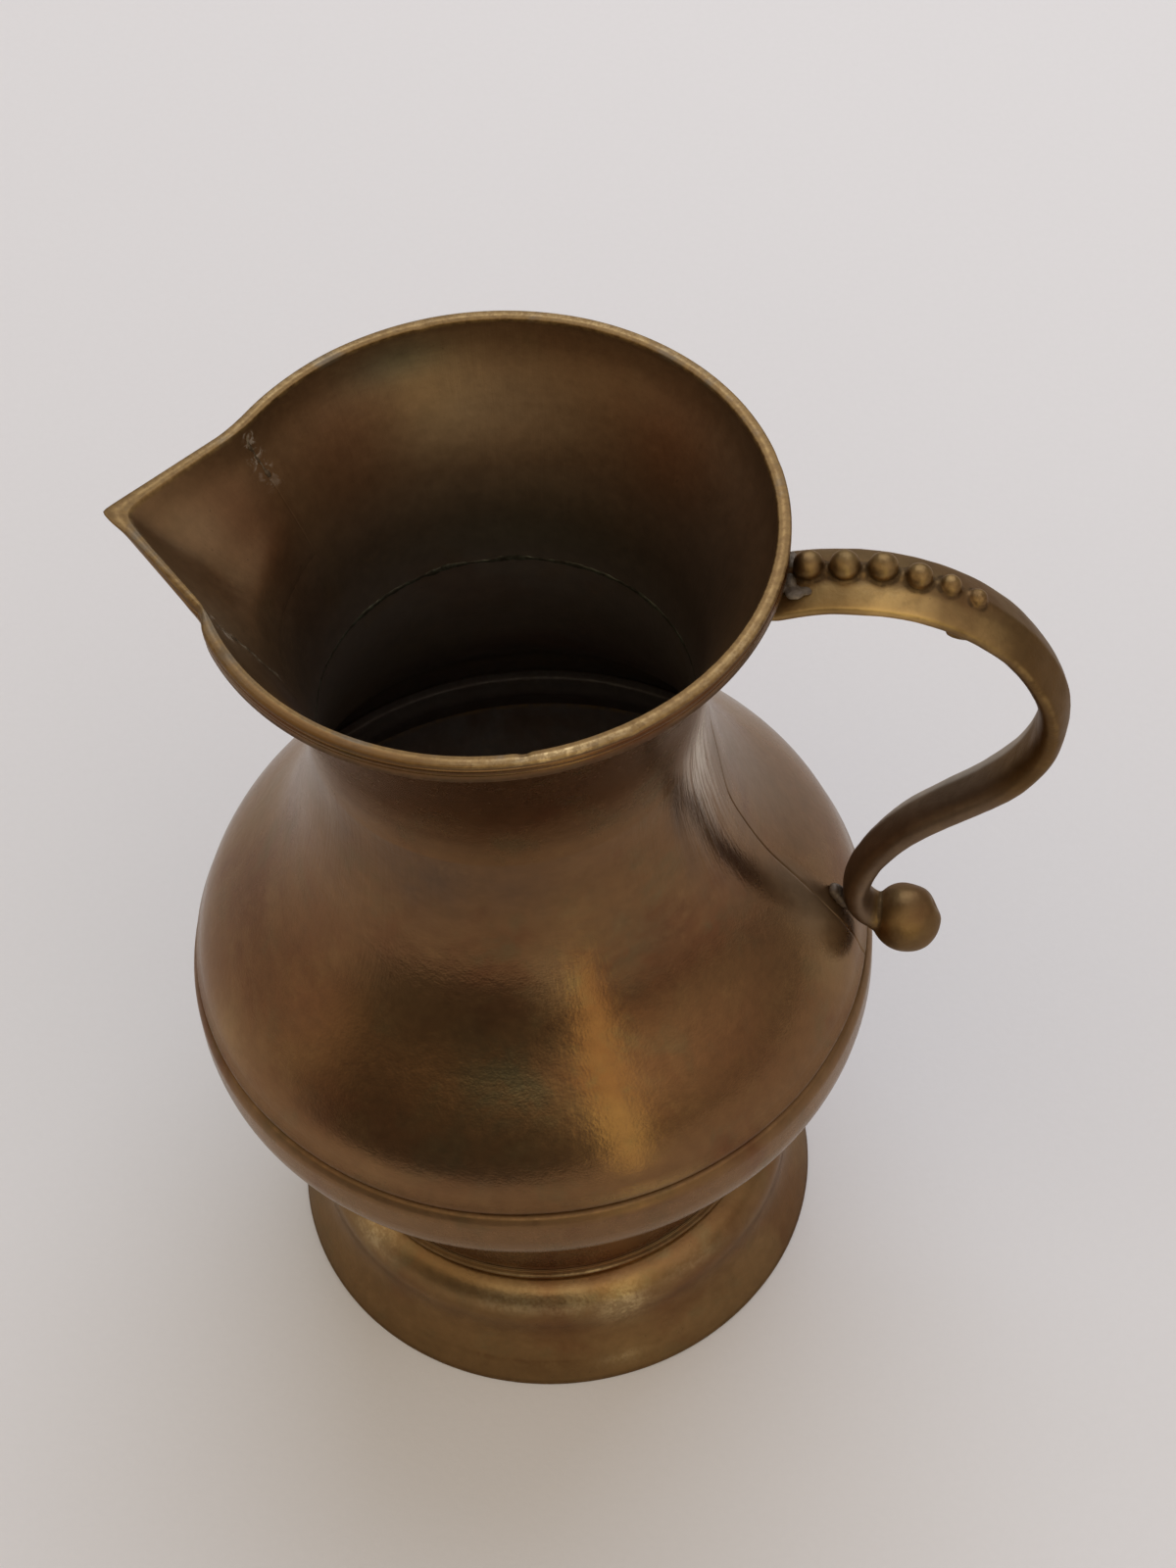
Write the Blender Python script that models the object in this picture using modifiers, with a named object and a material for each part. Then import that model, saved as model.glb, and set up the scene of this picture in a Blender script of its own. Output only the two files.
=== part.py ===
"""Brass jug: flared mouth with a let-in V spout, pear-shaped body made of a
shoulder shell and a lower bowl, a hollow turned foot and a cast scroll handle.

Units are metres, +Z is up. The jug's turning axis is Z, the foot rests on
z = 0, the handle stands out along +X and the spout along -X.
"""
import math

import bmesh
import bpy
from mathutils import Vector

MM = 0.001

# ---------------------------------------------------------------- dimensions
GAP = 0.30            # clearance between touching pieces
SEG = 52              # segments round the turning axis
WALL = 1.6            # sheet thickness of mouth and shoulder
BOWL_WALL = 1.8

# mouth collar
RIM_R = 40.0          # outer radius of the rim
RIM_IN = 38.2         # inner radius of the rim
RIM_Z = 161.2         # height of the rim's flat top
NECK_R = 28.3         # outer radius where collar and shoulder meet
NECK_Z = 124.1
FLARE = [(39.0, 157.2), (37.3, 154.4), (35.3, 150.4), (33.1, 145.5),
         (31.2, 140.6), (29.7, 135.5), (28.8, 130.4), (28.4, 126.8),
         (NECK_R, NECK_Z)]

# shoulder shell, neck to belly groove
SHOULDER = [(NECK_R, NECK_Z - GAP), (28.45, 120.5), (28.9, 116.6),
            (29.7, 112.2), (30.8, 107.6), (32.6, 101.6), (35.0, 96.4),
            (38.3, 91.6), (42.0, 87.1), (45.2, 83.2), (48.1, 78.9),
            (50.0, 75.0), (50.95, 71.6), (51.1, 70.1)]
GROOVE_Z = 69.3       # lower edge of the shoulder shell

# lower bowl
BELT_R = 52.3         # outer radius of the belly band
LIP_OUT = 48.1        # the bowl's lip sits inside the shoulder
LIP_IN = 46.3
LIP_Z = 72.5
BOWL = [(52.2, 61.8), (51.5, 59.5), (50.2, 57.3), (48.3, 54.9),
        (45.9, 51.9), (43.4, 48.3), (41.0, 44.1), (38.9, 39.5),
        (37.1, 34.6), (35.8, 30.2), (35.0, 27.0), (34.5, 24.6)]
BOWL_BASE_R = 34.2
BOWL_BASE_Z = 23.3
FLOOR_Z = 25.2        # inside of the bowl's floor

# foot
FOOT_R = 42.6
FOOT_TOP = 23.0
COVE = [(34.9, 20.1), (36.3, 19.2), (37.2, 17.8), (37.5, 15.8),
        (37.6, 13.2), (38.0, 10.2), (38.8, 7.2), (39.8, 4.8), (40.5, 3.4)]
REST_IN = 40.0        # the flat ring it stands on runs from here out

# spout: it fills a notch from the rim down to NOTCH_Z
NOTCH_Z = 140.0
NOTCH_TOP = 16.1      # half width of the notch at the rim
NOTCH_LOW = 12.9      # half width of the notch at its lower edge
SPOUT_TIP = 51.5      # outer tip of the spout at the rim
VALLEY = [(30.2, 140.4), (31.0, 143.0), (32.6, 146.0), (35.6, 148.6),
          (38.6, 151.5), (41.6, 154.3), (45.2, 157.8), (47.9, 161.2)]

# handle casting
HANDLE = [(41.0, 152.2), (47.1, 153.1), (53.3, 152.6), (59.1, 150.6),
          (64.6, 147.3), (69.4, 142.8), (73.0, 137.3), (75.3, 131.9),
          (76.1, 126.8), (75.8, 121.9), (74.0, 116.7), (69.8, 111.3),
          (62.3, 105.2), (55.2, 97.8), (51.2, 90.6), (49.7, 85.4),
          (49.6, 82.4), (50.6, 79.6), (53.0, 77.4), (57.1, 76.2)]
HANDLE_ROOT = (37.4, 151.0)
HANDLE_W = [11.2, 10.4, 9.8, 8.4, 6.8, 6.2]      # width, root to scroll
HANDLE_T = [4.6, 4.6, 4.5, 4.3, 4.2, 4.0]        # thickness, root to scroll
BALL = (57.1, 76.2, 5.4)
BEADS = [(42.5, 156.0, 2.1), (47.3, 156.6, 2.05), (52.3, 156.2, 2.05),
         (57.1, 154.8, 1.9), (61.2, 152.9, 1.65), (64.8, 150.7, 1.55)]
PAD = 1.2             # thickness of the braze pads under the handle's ends


# ------------------------------------------------------------------- helpers
def spline(points, per=4):
    """Centripetal-like Catmull-Rom curve through the control points."""
    p = [Vector((a, b, 0.0)) for a, b in points]
    p = [p[0] * 2 - p[1]] + p + [p[-1] * 2 - p[-2]]
    out = []
    for i in range(1, len(p) - 2):
        for k in range(per):
            t = k / per
            a, b, c, d = p[i - 1], p[i], p[i + 1], p[i + 2]
            q = 0.5 * ((2 * b) + (c - a) * t + (2 * a - 5 * b + 4 * c - d) * t * t
                       + (3 * b - a - 3 * c + d) * t ** 3)
            out.append((q.x, q.y))
    out.append(points[-1])
    return out


def offset(curve, dist):
    """Curve moved sideways by dist, towards the axis for a downward curve."""
    out = []
    for i, (r, z) in enumerate(curve):
        a = curve[max(0, i - 1)]
        b = curve[min(len(curve) - 1, i + 1)]
        t = Vector((b[0] - a[0], b[1] - a[1]))
        t.normalize()
        out.append((r + t.y * dist, z - t.x * dist))
    return out


def at_height(curve, z):
    """Radius of a profile at height z."""
    for (r0, z0), (r1, z1) in zip(curve, curve[1:]):
        if min(z0, z1) <= z <= max(z0, z1) and z0 != z1:
            return r0 + (r1 - r0) * (z - z0) / (z1 - z0)
    return curve[0][0] if z > curve[0][1] else curve[-1][0]


def blend(values, u):
    """Linear reading of a short list of values at u from 0 to 1."""
    x = u * (len(values) - 1)
    i = min(int(x), len(values) - 2)
    return values[i] + (values[i + 1] - values[i]) * (x - i)


def material(name, colour, rough):
    mat = bpy.data.materials.new(name)
    mat.use_nodes = True
    bsdf = mat.node_tree.nodes["Principled BSDF"]
    bsdf.inputs["Base Color"].default_value = (*colour, 1.0)
    bsdf.inputs["Roughness"].default_value = rough
    bsdf.inputs["Metallic"].default_value = 1.0
    return mat


def smooth(mesh, angle=40.0):
    mesh.shade_smooth()
    mesh.set_sharp_from_angle(angle=math.radians(angle))


def place(obj, coll, mat):
    coll.objects.link(obj)
    obj.data.materials.append(mat)
    return obj


def turned(name, profile, coll, mat, closed=True, seg=SEG):
    """A profile of (radius, height) in mm, swept round Z by a Screw."""
    mesh = bpy.data.meshes.new(name)
    verts = [(r * MM, 0.0, z * MM) for r, z in profile]
    n = len(verts)
    edges = [(i, i + 1) for i in range(n - 1)]
    if closed:
        edges.append((n - 1, 0))
    mesh.from_pydata(verts, edges, [])
    obj = place(bpy.data.objects.new(name, mesh), coll, mat)
    screw = obj.modifiers.new("Turn", "SCREW")
    screw.axis = "Z"
    screw.angle = 2 * math.pi
    screw.steps = seg
    screw.render_steps = seg
    screw.use_merge_vertices = True
    screw.merge_threshold = 0.00001
    screw.use_smooth_shade = True
    return obj


def loft(name, rings, coll, mat):
    """Closed skin over rings of equal point counts, with flat end caps."""
    bm = bmesh.new()
    loops = [[bm.verts.new(Vector(p) * MM) for p in ring] for ring in rings]
    n = len(loops[0])
    for a, b in zip(loops, loops[1:]):
        for i in range(n):
            j = (i + 1) % n
            bm.faces.new((a[i], a[j], b[j], b[i]))
    bm.faces.new(list(reversed(loops[0])))
    bm.faces.new(loops[-1])
    bmesh.ops.recalc_face_normals(bm, faces=bm.faces)
    if bm.calc_volume(signed=True) < 0:
        bmesh.ops.reverse_faces(bm, faces=bm.faces)
    mesh = bpy.data.meshes.new(name)
    bm.to_mesh(mesh)
    bm.free()
    smooth(mesh)
    return place(bpy.data.objects.new(name, mesh), coll, mat)


def boolean(obj, cutter, operation):
    mod = obj.modifiers.new(operation.title(), "BOOLEAN")
    mod.operation = operation
    mod.solver = "EXACT"
    mod.object = cutter
    cutter.hide_render = True
    cutter.display_type = "WIRE"
    return mod


def ball(name, x, z, r, seg, rings, coll, mat):
    mesh = bpy.data.meshes.new(name)
    bm = bmesh.new()
    bmesh.ops.create_uvsphere(bm, u_segments=seg, v_segments=rings, radius=r * MM)
    bm.to_mesh(mesh)
    bm.free()
    obj = place(bpy.data.objects.new(name, mesh), coll, mat)
    obj.location = (x * MM, 0.0, z * MM)
    return obj


# -------------------------------------------------------------------- pieces
def collar_profiles():
    """Outer flare below the rim, and the inner wall up to the rim."""
    outer = spline(FLARE, 1)
    inner = [p for p in offset(outer, WALL) if p[1] < RIM_Z - 4.5]
    inner[-1] = (inner[-1][0], NECK_Z)
    inner = [(RIM_IN, RIM_Z - 0.2)] + inner
    return outer, inner


def mouth_collar(coll, cutters, mat, mat_cut):
    outer, inner = collar_profiles()
    rim = [(RIM_IN + 0.2, RIM_Z), (RIM_R - 0.3, RIM_Z), (RIM_R, RIM_Z - 0.3),
           (RIM_R, RIM_Z - 0.7), (RIM_R - 0.4, RIM_Z - 0.95),
           (RIM_R - 0.1, RIM_Z - 1.25), (RIM_R - 0.1, RIM_Z - 1.9),
           (RIM_R - 0.4, RIM_Z - 2.1), (RIM_R - 0.25, RIM_Z - 2.35),
           (RIM_R - 0.5, RIM_Z - 3.7)]
    obj = turned("mouth_collar", rim + outer + list(reversed(inner)), coll, mat)
    # notch: a prism along X with a trapezoid section, open at the rim
    top = RIM_Z + 4.0
    section = [(-NOTCH_LOW, NOTCH_Z), (NOTCH_LOW, NOTCH_Z),
               (notch_half(top), top), (-notch_half(top), top)]
    rings = [[(x, y, z) for y, z in section] for x in (-20.0, -60.0)]
    cutter = loft("notch_cutter", rings, cutters, mat_cut)
    boolean(obj, cutter, "DIFFERENCE")
    return obj


def notch_half(z):
    """Half width of the notch at height z."""
    return NOTCH_LOW + (NOTCH_TOP - NOTCH_LOW) * (z - NOTCH_Z) / (RIM_Z - NOTCH_Z)


def spout_ring(z, n=14):
    """One level of the spout: the outer side edge to edge, then back inside.

    The side view is a V whose sides stand on the collar's wall. Low down the V
    is flatter than the wall's own arc, and the larger of the two shapes it.
    """
    outer, inner = collar_profiles()
    half = notch_half(z) - GAP * 1.02
    r_out = at_height(outer, z) if z < 157.2 else RIM_R - 0.35
    r_in = at_height(inner, z)
    x_out = math.sqrt(r_out ** 2 - half ** 2)
    x_in = math.sqrt(r_in ** 2 - half ** 2)
    s_in = at_height(list(reversed(spline(VALLEY, 4))), z)
    lean = math.atan2(half, max(s_in - x_in, 0.1))
    wall = WALL / max(math.sin(lean), 0.5)
    rise = max(0.0, (z - 152.0) / (RIM_Z - 152.0))
    s_out = s_in + wall + (SPOUT_TIP - VALLEY[-1][0] - wall) * rise

    def side(x_edge, radius, tip, blunt):
        pts = []
        for k in range(n + 1):
            u = 2.0 * k / n - 1.0
            y = half * math.copysign(abs(u) ** 1.35, u)
            arc = math.sqrt(radius ** 2 - y * y) - x_edge
            vee = (tip - x_edge) * (1 - (math.hypot(y, blunt) - blunt)
                                    / (math.hypot(half, blunt) - blunt))
            sag = (max(arc, 0.0) ** 5 + max(vee, 0.0) ** 5) ** 0.2
            pts.append((-(x_edge + sag), y, z))
        return pts

    return side(x_out, r_out, s_out, 1.5) + list(reversed(side(x_in, r_in, s_in, 0.5)))


def spout(coll, mat):
    low = NOTCH_Z + GAP
    levels = [low + (RIM_Z - low) * k / 12 for k in range(13)]
    return loft("spout", [spout_ring(z) for z in levels], coll, mat)


def shoulder_shell(coll, mat):
    outer = spline(SHOULDER, 1)
    inner = offset(outer, WALL)
    inner[0] = (inner[0][0], NECK_Z - GAP)
    outer = outer + [(50.6, GROOVE_Z)]
    inner = [p for p in inner if p[1] > GROOVE_Z + 0.6] + [(49.2, GROOVE_Z)]
    return turned("shoulder_shell", outer + list(reversed(inner)), coll, mat)


def lower_bowl(coll, mat):
    wall = spline(BOWL, 1)
    inner = [p for p in offset(wall, BOWL_WALL) if p[1] > FLOOR_Z + 3.0]
    # inner side, from the floor's centre up the wall to the lip
    path = [(0.0, FLOOR_Z), (15.0, FLOOR_Z), (27.0, FLOOR_Z + 0.3),
            (31.6, FLOOR_Z + 1.2)]
    path += list(reversed(inner))
    path += [(49.4, 63.6), (47.4, 66.4), (LIP_IN, 68.6), (LIP_IN, LIP_Z - 0.3)]
    # over the lip, down to the shelf under the groove, and round the band
    path += [(LIP_IN + 0.4, LIP_Z), (LIP_OUT - 0.4, LIP_Z), (LIP_OUT, LIP_Z - 0.3),
             (LIP_OUT, GROOVE_Z - GAP), (50.6, GROOVE_Z - GAP),
             (51.5, GROOVE_Z - 0.6), (BELT_R - 0.1, GROOVE_Z - 1.5),
             (BELT_R, GROOVE_Z - 2.6), (BELT_R, 64.0)]
    path += wall
    path += [(BOWL_BASE_R, BOWL_BASE_Z), (20.0, BOWL_BASE_Z), (0.0, BOWL_BASE_Z)]
    return turned("lower_bowl", path, coll, mat, closed=False)


def foot(coll, mat):
    outer = [(33.0, FOOT_TOP), (35.1, FOOT_TOP), (35.45, FOOT_TOP - 0.35),
             (35.45, 21.9), (35.1, 21.5), (34.4, 21.1), (34.3, 20.6)]
    outer += spline(COVE, 1)
    outer += [(40.65, 2.75), (41.3, 2.6), (42.2, 2.1), (FOOT_R, 1.3),
              (FOOT_R, 0.3), (FOOT_R - 0.3, 0.0)]
    inner = [(REST_IN, 0.0), (39.3, 0.9), (38.2, 3.4), (36.9, 7.0),
             (36.1, 10.6), (35.8, 14.4), (35.3, 17.0), (33.8, 18.6),
             (32.5, 19.8), (32.3, 21.4), (32.3, FOOT_TOP)]
    return turned("foot", outer + inner, coll, mat)


def foot_braze_ring(coll, mat):
    profile = [(31.9, FOOT_TOP), (31.9, 21.4), (31.2, 21.9), (30.4, FOOT_TOP - 0.3),
               (30.2, FOOT_TOP)]
    # outer side first, top to bottom, then back up inside
    return turned("foot_braze_ring", profile, coll, mat, seg=48)


def neck_braze_ring(coll, mat):
    r = NECK_R - WALL - GAP
    profile = [(r, NECK_Z + 1.2), (r, NECK_Z - 1.4), (r - 0.45, NECK_Z - 1.1),
               (r - 0.75, NECK_Z - 0.1), (r - 0.45, NECK_Z + 0.9)]
    return turned("neck_braze_ring", profile, coll, mat, seg=48)


def handle_section(x, z, tx, tz, w, t, n=14, power=2.5):
    """Rounded strip section in the plane across the direction (tx, tz)."""
    ring = []
    for k in range(n):
        a = 2 * math.pi * k / n
        c, s = math.cos(a), math.sin(a)
        u = math.copysign(abs(c) ** (2 / power), c) * t / 2
        v = math.copysign(abs(s) ** (2 / power), s) * w / 2
        ring.append((x - tz * u, v, z + tx * u))
    return ring


def wall_x(z, y):
    """Outside of the mouth's flare at height z and side distance y."""
    outer, _ = collar_profiles()
    return math.sqrt(at_height(outer, z) ** 2 - y * y)


def handle(coll, cutters, mat):
    line = spline([HANDLE_ROOT] + HANDLE, 2)
    length = [0.0]
    for a, b in zip(line, line[1:]):
        length.append(length[-1] + math.hypot(b[0] - a[0], b[1] - a[1]))
    rings = []
    for i, (x, z) in enumerate(line):
        a = line[max(0, i - 1)]
        b = line[min(len(line) - 1, i + 1)]
        d = math.hypot(b[0] - a[0], b[1] - a[1])
        u = length[i] / length[-1]
        ring = handle_section(x, z, (b[0] - a[0]) / d, (b[1] - a[1]) / d,
                              blend(HANDLE_W, u), blend(HANDLE_T, u))
        if i == 0:
            # the end is filed to the wall's curve, a braze pad's width off it
            ring = [(wall_x(pz, py) + PAD + 2 * GAP, py, pz) for _, py, pz in ring]
        rings.append(ring)
    obj = loft("handle", rings, coll, mat)
    x, z, r = BALL
    boolean(obj, ball("ball_shape", x, z, r, 20, 12, cutters, mat), "UNION")
    for k, (x, z, r) in enumerate(BEADS):
        boolean(obj, ball("bead_shape_%d" % (k + 1), x, z, r, 12, 8, cutters, mat), "UNION")
    return obj


def pad(name, radius_at, z0, z1, half, thick_at, coll, mat):
    """A braze pad on a turned wall: a rounded patch a little off the wall."""
    rings = []
    steps = 8
    for k in range(steps + 1):
        z = z0 + (z1 - z0) * k / steps
        # rounded ends: the patch narrows towards its top and bottom
        e = abs(2 * k / steps - 1.0)
        w = half * math.sqrt(max(0.15, 1 - e ** 4))
        th = thick_at(z, e)
        ring = []
        m = 6
        for j in range(m + 1):
            y = -w + 2 * w * j / m
            ring.append((math.sqrt(radius_at(z) ** 2 - y * y) + GAP, y, z))
        for j in range(m + 1):
            y = w - 2 * w * j / m
            f = 1 - 0.45 * (abs(y) / w) ** 3
            ring.append((math.sqrt(radius_at(z) ** 2 - y * y) + GAP + th * f, y, z))
        rings.append(ring)
    return loft(name, rings, coll, mat)


def handle_root_braze(coll, mat):
    outer, _ = collar_profiles()
    return pad("handle_root_braze", lambda z: at_height(outer, z), 147.3, 154.2, 6.2,
               lambda z, e: PAD * (0.55 + 0.45 * math.sqrt(max(0.0, 1 - e ** 2))),
               coll, mat)


def handle_scroll_braze(coll, mat):
    """Wedge of braze in the narrowing gap over the scroll's touching point."""
    outer = spline(SHOULDER, 1)
    line = spline([HANDLE_ROOT] + HANDLE, 2)
    low, high = 80.6, 85.6

    def thick(z, e):
        near = [x for x, h in line if abs(h - z) < 3.0 and x < 52.0]
        room = min(near) - 2.35 - at_height(outer, z) - 2.2 * GAP
        taper = min(1.0, (high - z) / 2.5 + 0.2)
        return max(0.25, min(room, 2.2) * taper)

    return pad("handle_scroll_braze", lambda z: at_height(outer, z), low, high, 2.6,
               thick, coll, mat)


def spout_braze(name, side, low, high, coll, mat):
    """A thin run of braze down the inside of one spout seam."""
    _, inner = collar_profiles()
    curve = bpy.data.curves.new(name, "CURVE")
    curve.dimensions = "3D"
    curve.bevel_depth = 0.5 * MM
    curve.bevel_resolution = 2
    curve.use_fill_caps = True
    n = 12
    line = curve.splines.new("POLY")
    line.points.add(n - 1)
    for k in range(n):
        z = low + (high - low) * k / (n - 1)
        y = notch_half(z) - 0.4
        r = at_height(inner, z) - (0.5 + GAP + 0.3)
        x = -math.sqrt(r * r - y * y)
        line.points[k].co = (x * MM, side * y * MM, z * MM, 1.0)
    tube = bpy.data.objects.new(name + "_run", curve)
    coll.objects.link(tube)
    bpy.context.view_layer.update()
    mesh = bpy.data.meshes.new_from_object(tube.evaluated_get(bpy.context.evaluated_depsgraph_get()))
    bm = bmesh.new()
    bm.from_mesh(mesh)
    bmesh.ops.remove_doubles(bm, verts=bm.verts, dist=0.000005)
    bmesh.ops.recalc_face_normals(bm, faces=bm.faces)
    bm.to_mesh(mesh)
    bm.free()
    mesh.name = name
    mesh.materials.clear()
    smooth(mesh)
    obj = bpy.data.objects.new(name, mesh)
    obj.matrix_world = tube.matrix_world
    bpy.data.objects.remove(tube, do_unlink=True)
    return place(obj, coll, mat)


# --------------------------------------------------------------------- build
def main():
    for obj in list(bpy.data.objects):
        bpy.data.objects.remove(obj, do_unlink=True)

    jug = bpy.data.collections.new("brass_jug")
    cutters = bpy.data.collections.new("cutters")
    bpy.context.scene.collection.children.link(jug)
    bpy.context.scene.collection.children.link(cutters)

    brass_mouth = material("brass_mouth", (0.36, 0.22, 0.10), 0.34)
    brass_spout = material("brass_spout", (0.34, 0.21, 0.10), 0.36)
    brass_shoulder = material("brass_shoulder", (0.30, 0.16, 0.07), 0.32)
    brass_bowl = material("brass_bowl", (0.28, 0.16, 0.08), 0.34)
    brass_foot = material("brass_foot", (0.31, 0.20, 0.09), 0.36)
    brass_cast = material("brass_cast", (0.30, 0.20, 0.10), 0.42)
    braze = material("braze", (0.42, 0.38, 0.30), 0.60)
    cut = material("cut", (0.5, 0.5, 0.5), 0.5)

    mouth_collar(jug, cutters, brass_mouth, cut)
    spout(jug, brass_spout)
    shoulder_shell(jug, brass_shoulder)
    lower_bowl(jug, brass_bowl)
    foot(jug, brass_foot)
    handle(jug, cutters, brass_cast)
    neck_braze_ring(jug, braze)
    spout_braze("spout_braze_front", -1, 142.0, 157.0, jug, braze)
    spout_braze("spout_braze_rear", 1, 152.5, 160.2, jug, braze)
    handle_root_braze(jug, braze)
    handle_scroll_braze(jug, braze)
    foot_braze_ring(jug, braze)
    bpy.context.view_layer.update()


main()
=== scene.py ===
"""Aged brass jug on a pale sheet: fine surfaces, patina, light and camera."""
import math

import bmesh
import bpy
import numpy as np
from mathutils import Matrix, Vector, noise


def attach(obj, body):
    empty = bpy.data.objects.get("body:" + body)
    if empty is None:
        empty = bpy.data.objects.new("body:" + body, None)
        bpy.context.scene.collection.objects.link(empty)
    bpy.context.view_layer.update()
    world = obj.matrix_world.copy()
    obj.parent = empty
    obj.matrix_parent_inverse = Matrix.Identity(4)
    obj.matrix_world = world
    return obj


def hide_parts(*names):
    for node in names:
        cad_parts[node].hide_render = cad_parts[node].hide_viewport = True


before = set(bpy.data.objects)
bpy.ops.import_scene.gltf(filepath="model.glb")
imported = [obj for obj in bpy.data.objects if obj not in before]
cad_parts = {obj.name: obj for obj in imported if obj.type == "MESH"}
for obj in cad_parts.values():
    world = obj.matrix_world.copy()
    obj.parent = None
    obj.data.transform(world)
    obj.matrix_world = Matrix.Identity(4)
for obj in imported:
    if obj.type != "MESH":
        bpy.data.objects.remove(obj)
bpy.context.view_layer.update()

MM = 0.001
TAU = 2 * math.pi

# --------------------------------------------------------------- dimensions
RIM_R, RIM_IN, RIM_Z = 40.0, 38.2, 161.2
NECK_R, NECK_Z = 28.3, 124.1
WALL, BOWL_WALL = 1.6, 1.8
FLARE = [(39.55, 158.3), (38.9, 156.9), (37.3, 154.1), (35.3, 150.2), (33.1, 145.4),
         (31.2, 140.5), (29.7, 135.3), (28.8, 130.2), (28.35, 126.2)]
SHOULDER = [(28.4, 120.5), (28.9, 116.2), (29.7, 112.2), (30.8, 107.6), (32.6, 101.9),
            (35.0, 96.7), (38.3, 91.6), (42.0, 87.1), (45.2, 83.1), (48.1, 78.9),
            (50.0, 75.0), (50.95, 71.9), (51.15, 70.7)]
BOWL = [(52.25, 63.6), (52.05, 61.2), (51.4, 59.2), (50.2, 57.2), (48.3, 54.8),
        (45.9, 51.8), (43.4, 48.2), (41.0, 43.9), (38.9, 39.3), (37.1, 34.5),
        (35.8, 30.2), (35.0, 27.0), (34.5, 24.6), (34.25, 23.3)]
NOTCH_Z = 140.2
NOTCH_TOP, NOTCH_LOW = 16.1, 12.9
SPOUT_TIP = 51.5
VALLEY = [(30.2, 140.4), (31.0, 143.0), (32.6, 146.0), (35.6, 148.6),
          (38.6, 151.5), (41.6, 154.3), (45.2, 157.8), (47.9, 161.2)]
HANDLE = [(37.4, 151.0), (41.0, 152.2), (47.1, 153.1), (53.3, 152.6), (59.2, 150.9),
          (64.8, 147.7), (69.7, 143.2), (73.3, 137.6), (75.5, 132.0),
          (76.1, 127.1), (75.4, 121.7), (73.0, 116.2), (69.0, 111.1),
          (62.3, 105.2), (55.2, 97.8), (51.2, 90.6), (49.7, 85.4),
          (49.6, 82.4), (50.6, 79.6), (53.0, 77.4), (57.1, 76.2)]
HANDLE_W = [11.2, 10.4, 9.8, 8.4, 6.8, 6.2]
HANDLE_T = [4.6, 4.6, 4.5, 4.3, 4.2, 4.0]
BALL = (57.1, 76.2, 5.3)
BEADS = [(42.5, 156.0, 2.1), (47.3, 156.6, 2.05), (52.3, 156.2, 2.05),
         (57.1, 154.8, 1.9), (61.2, 152.9, 1.65), (64.8, 150.7, 1.55)]


# ------------------------------------------------------------- curve helpers
def cubic(points, step=0.6, passes=24):
    """Smooth evenly spaced curve near the points, with its ends kept."""
    p = np.array(points, float)
    s = np.r_[0, np.cumsum(np.hypot(*np.diff(p, axis=0).T))]
    n = len(s)
    h = np.diff(s)
    A = np.eye(n)
    rhs = np.zeros((n, 2))
    for i in range(1, n - 1):
        A[i, i - 1:i + 2] = h[i - 1], 2 * (h[i - 1] + h[i]), h[i]
        rhs[i] = 6 * ((p[i + 1] - p[i]) / h[i] - (p[i] - p[i - 1]) / h[i - 1])
    m = np.linalg.solve(A, rhs)
    q = np.linspace(0, s[-1], max(4, int(round(s[-1] / step)) + 1))
    k = np.clip(np.searchsorted(s, q, side="right") - 1, 0, n - 2)
    a, b, hh = (s[k + 1] - q)[:, None], (q - s[k])[:, None], h[k][:, None]
    c = (m[k] * a ** 3 + m[k + 1] * b ** 3) / (6 * hh) \
        + (p[k] / hh - m[k] * hh / 6) * a + (p[k + 1] / hh - m[k + 1] * hh / 6) * b
    for _ in range(passes):
        c[1:-1] = 0.25 * c[:-2] + 0.5 * c[1:-1] + 0.25 * c[2:]
    return c


def rounded(corners, steps=5):
    """Polyline of (r, z, radius) corners with each corner turned into an arc."""
    out = []
    n = len(corners)
    for i, (r, z, rad) in enumerate(corners):
        p = Vector((r, z))
        if rad <= 0 or i in (0, n - 1):
            out.append((r, z))
            continue
        a = Vector(corners[i - 1][:2]) - p
        b = Vector(corners[i + 1][:2]) - p
        d = min(rad, 0.48 * a.length, 0.48 * b.length)
        a.normalize()
        b.normalize()
        for k in range(steps + 1):
            t = k / steps
            q = (1 - t) ** 2 * (p + a * d) + 2 * t * (1 - t) * p + t * t * (p + b * d)
            out.append((q.x, q.y))
    return out


def offset(curve, dist):
    c = np.array(curve, float)
    t = np.gradient(c, axis=0)
    t /= np.maximum(np.hypot(t[:, 0], t[:, 1]), 1e-9)[:, None]
    return np.c_[c[:, 0] + t[:, 1] * dist, c[:, 1] - t[:, 0] * dist]


def radius_at(curve):
    """Reader of a profile's radius at a height."""
    c = np.array(curve, float)
    o = np.argsort(c[:, 1])
    zz, rr = c[o, 1], c[o, 0]
    return lambda z: np.interp(z, zz, rr)


def smoothstep(x, a, b):
    t = np.clip((x - a) / (b - a), 0, 1)
    return t * t * (3 - 2 * t)


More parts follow.
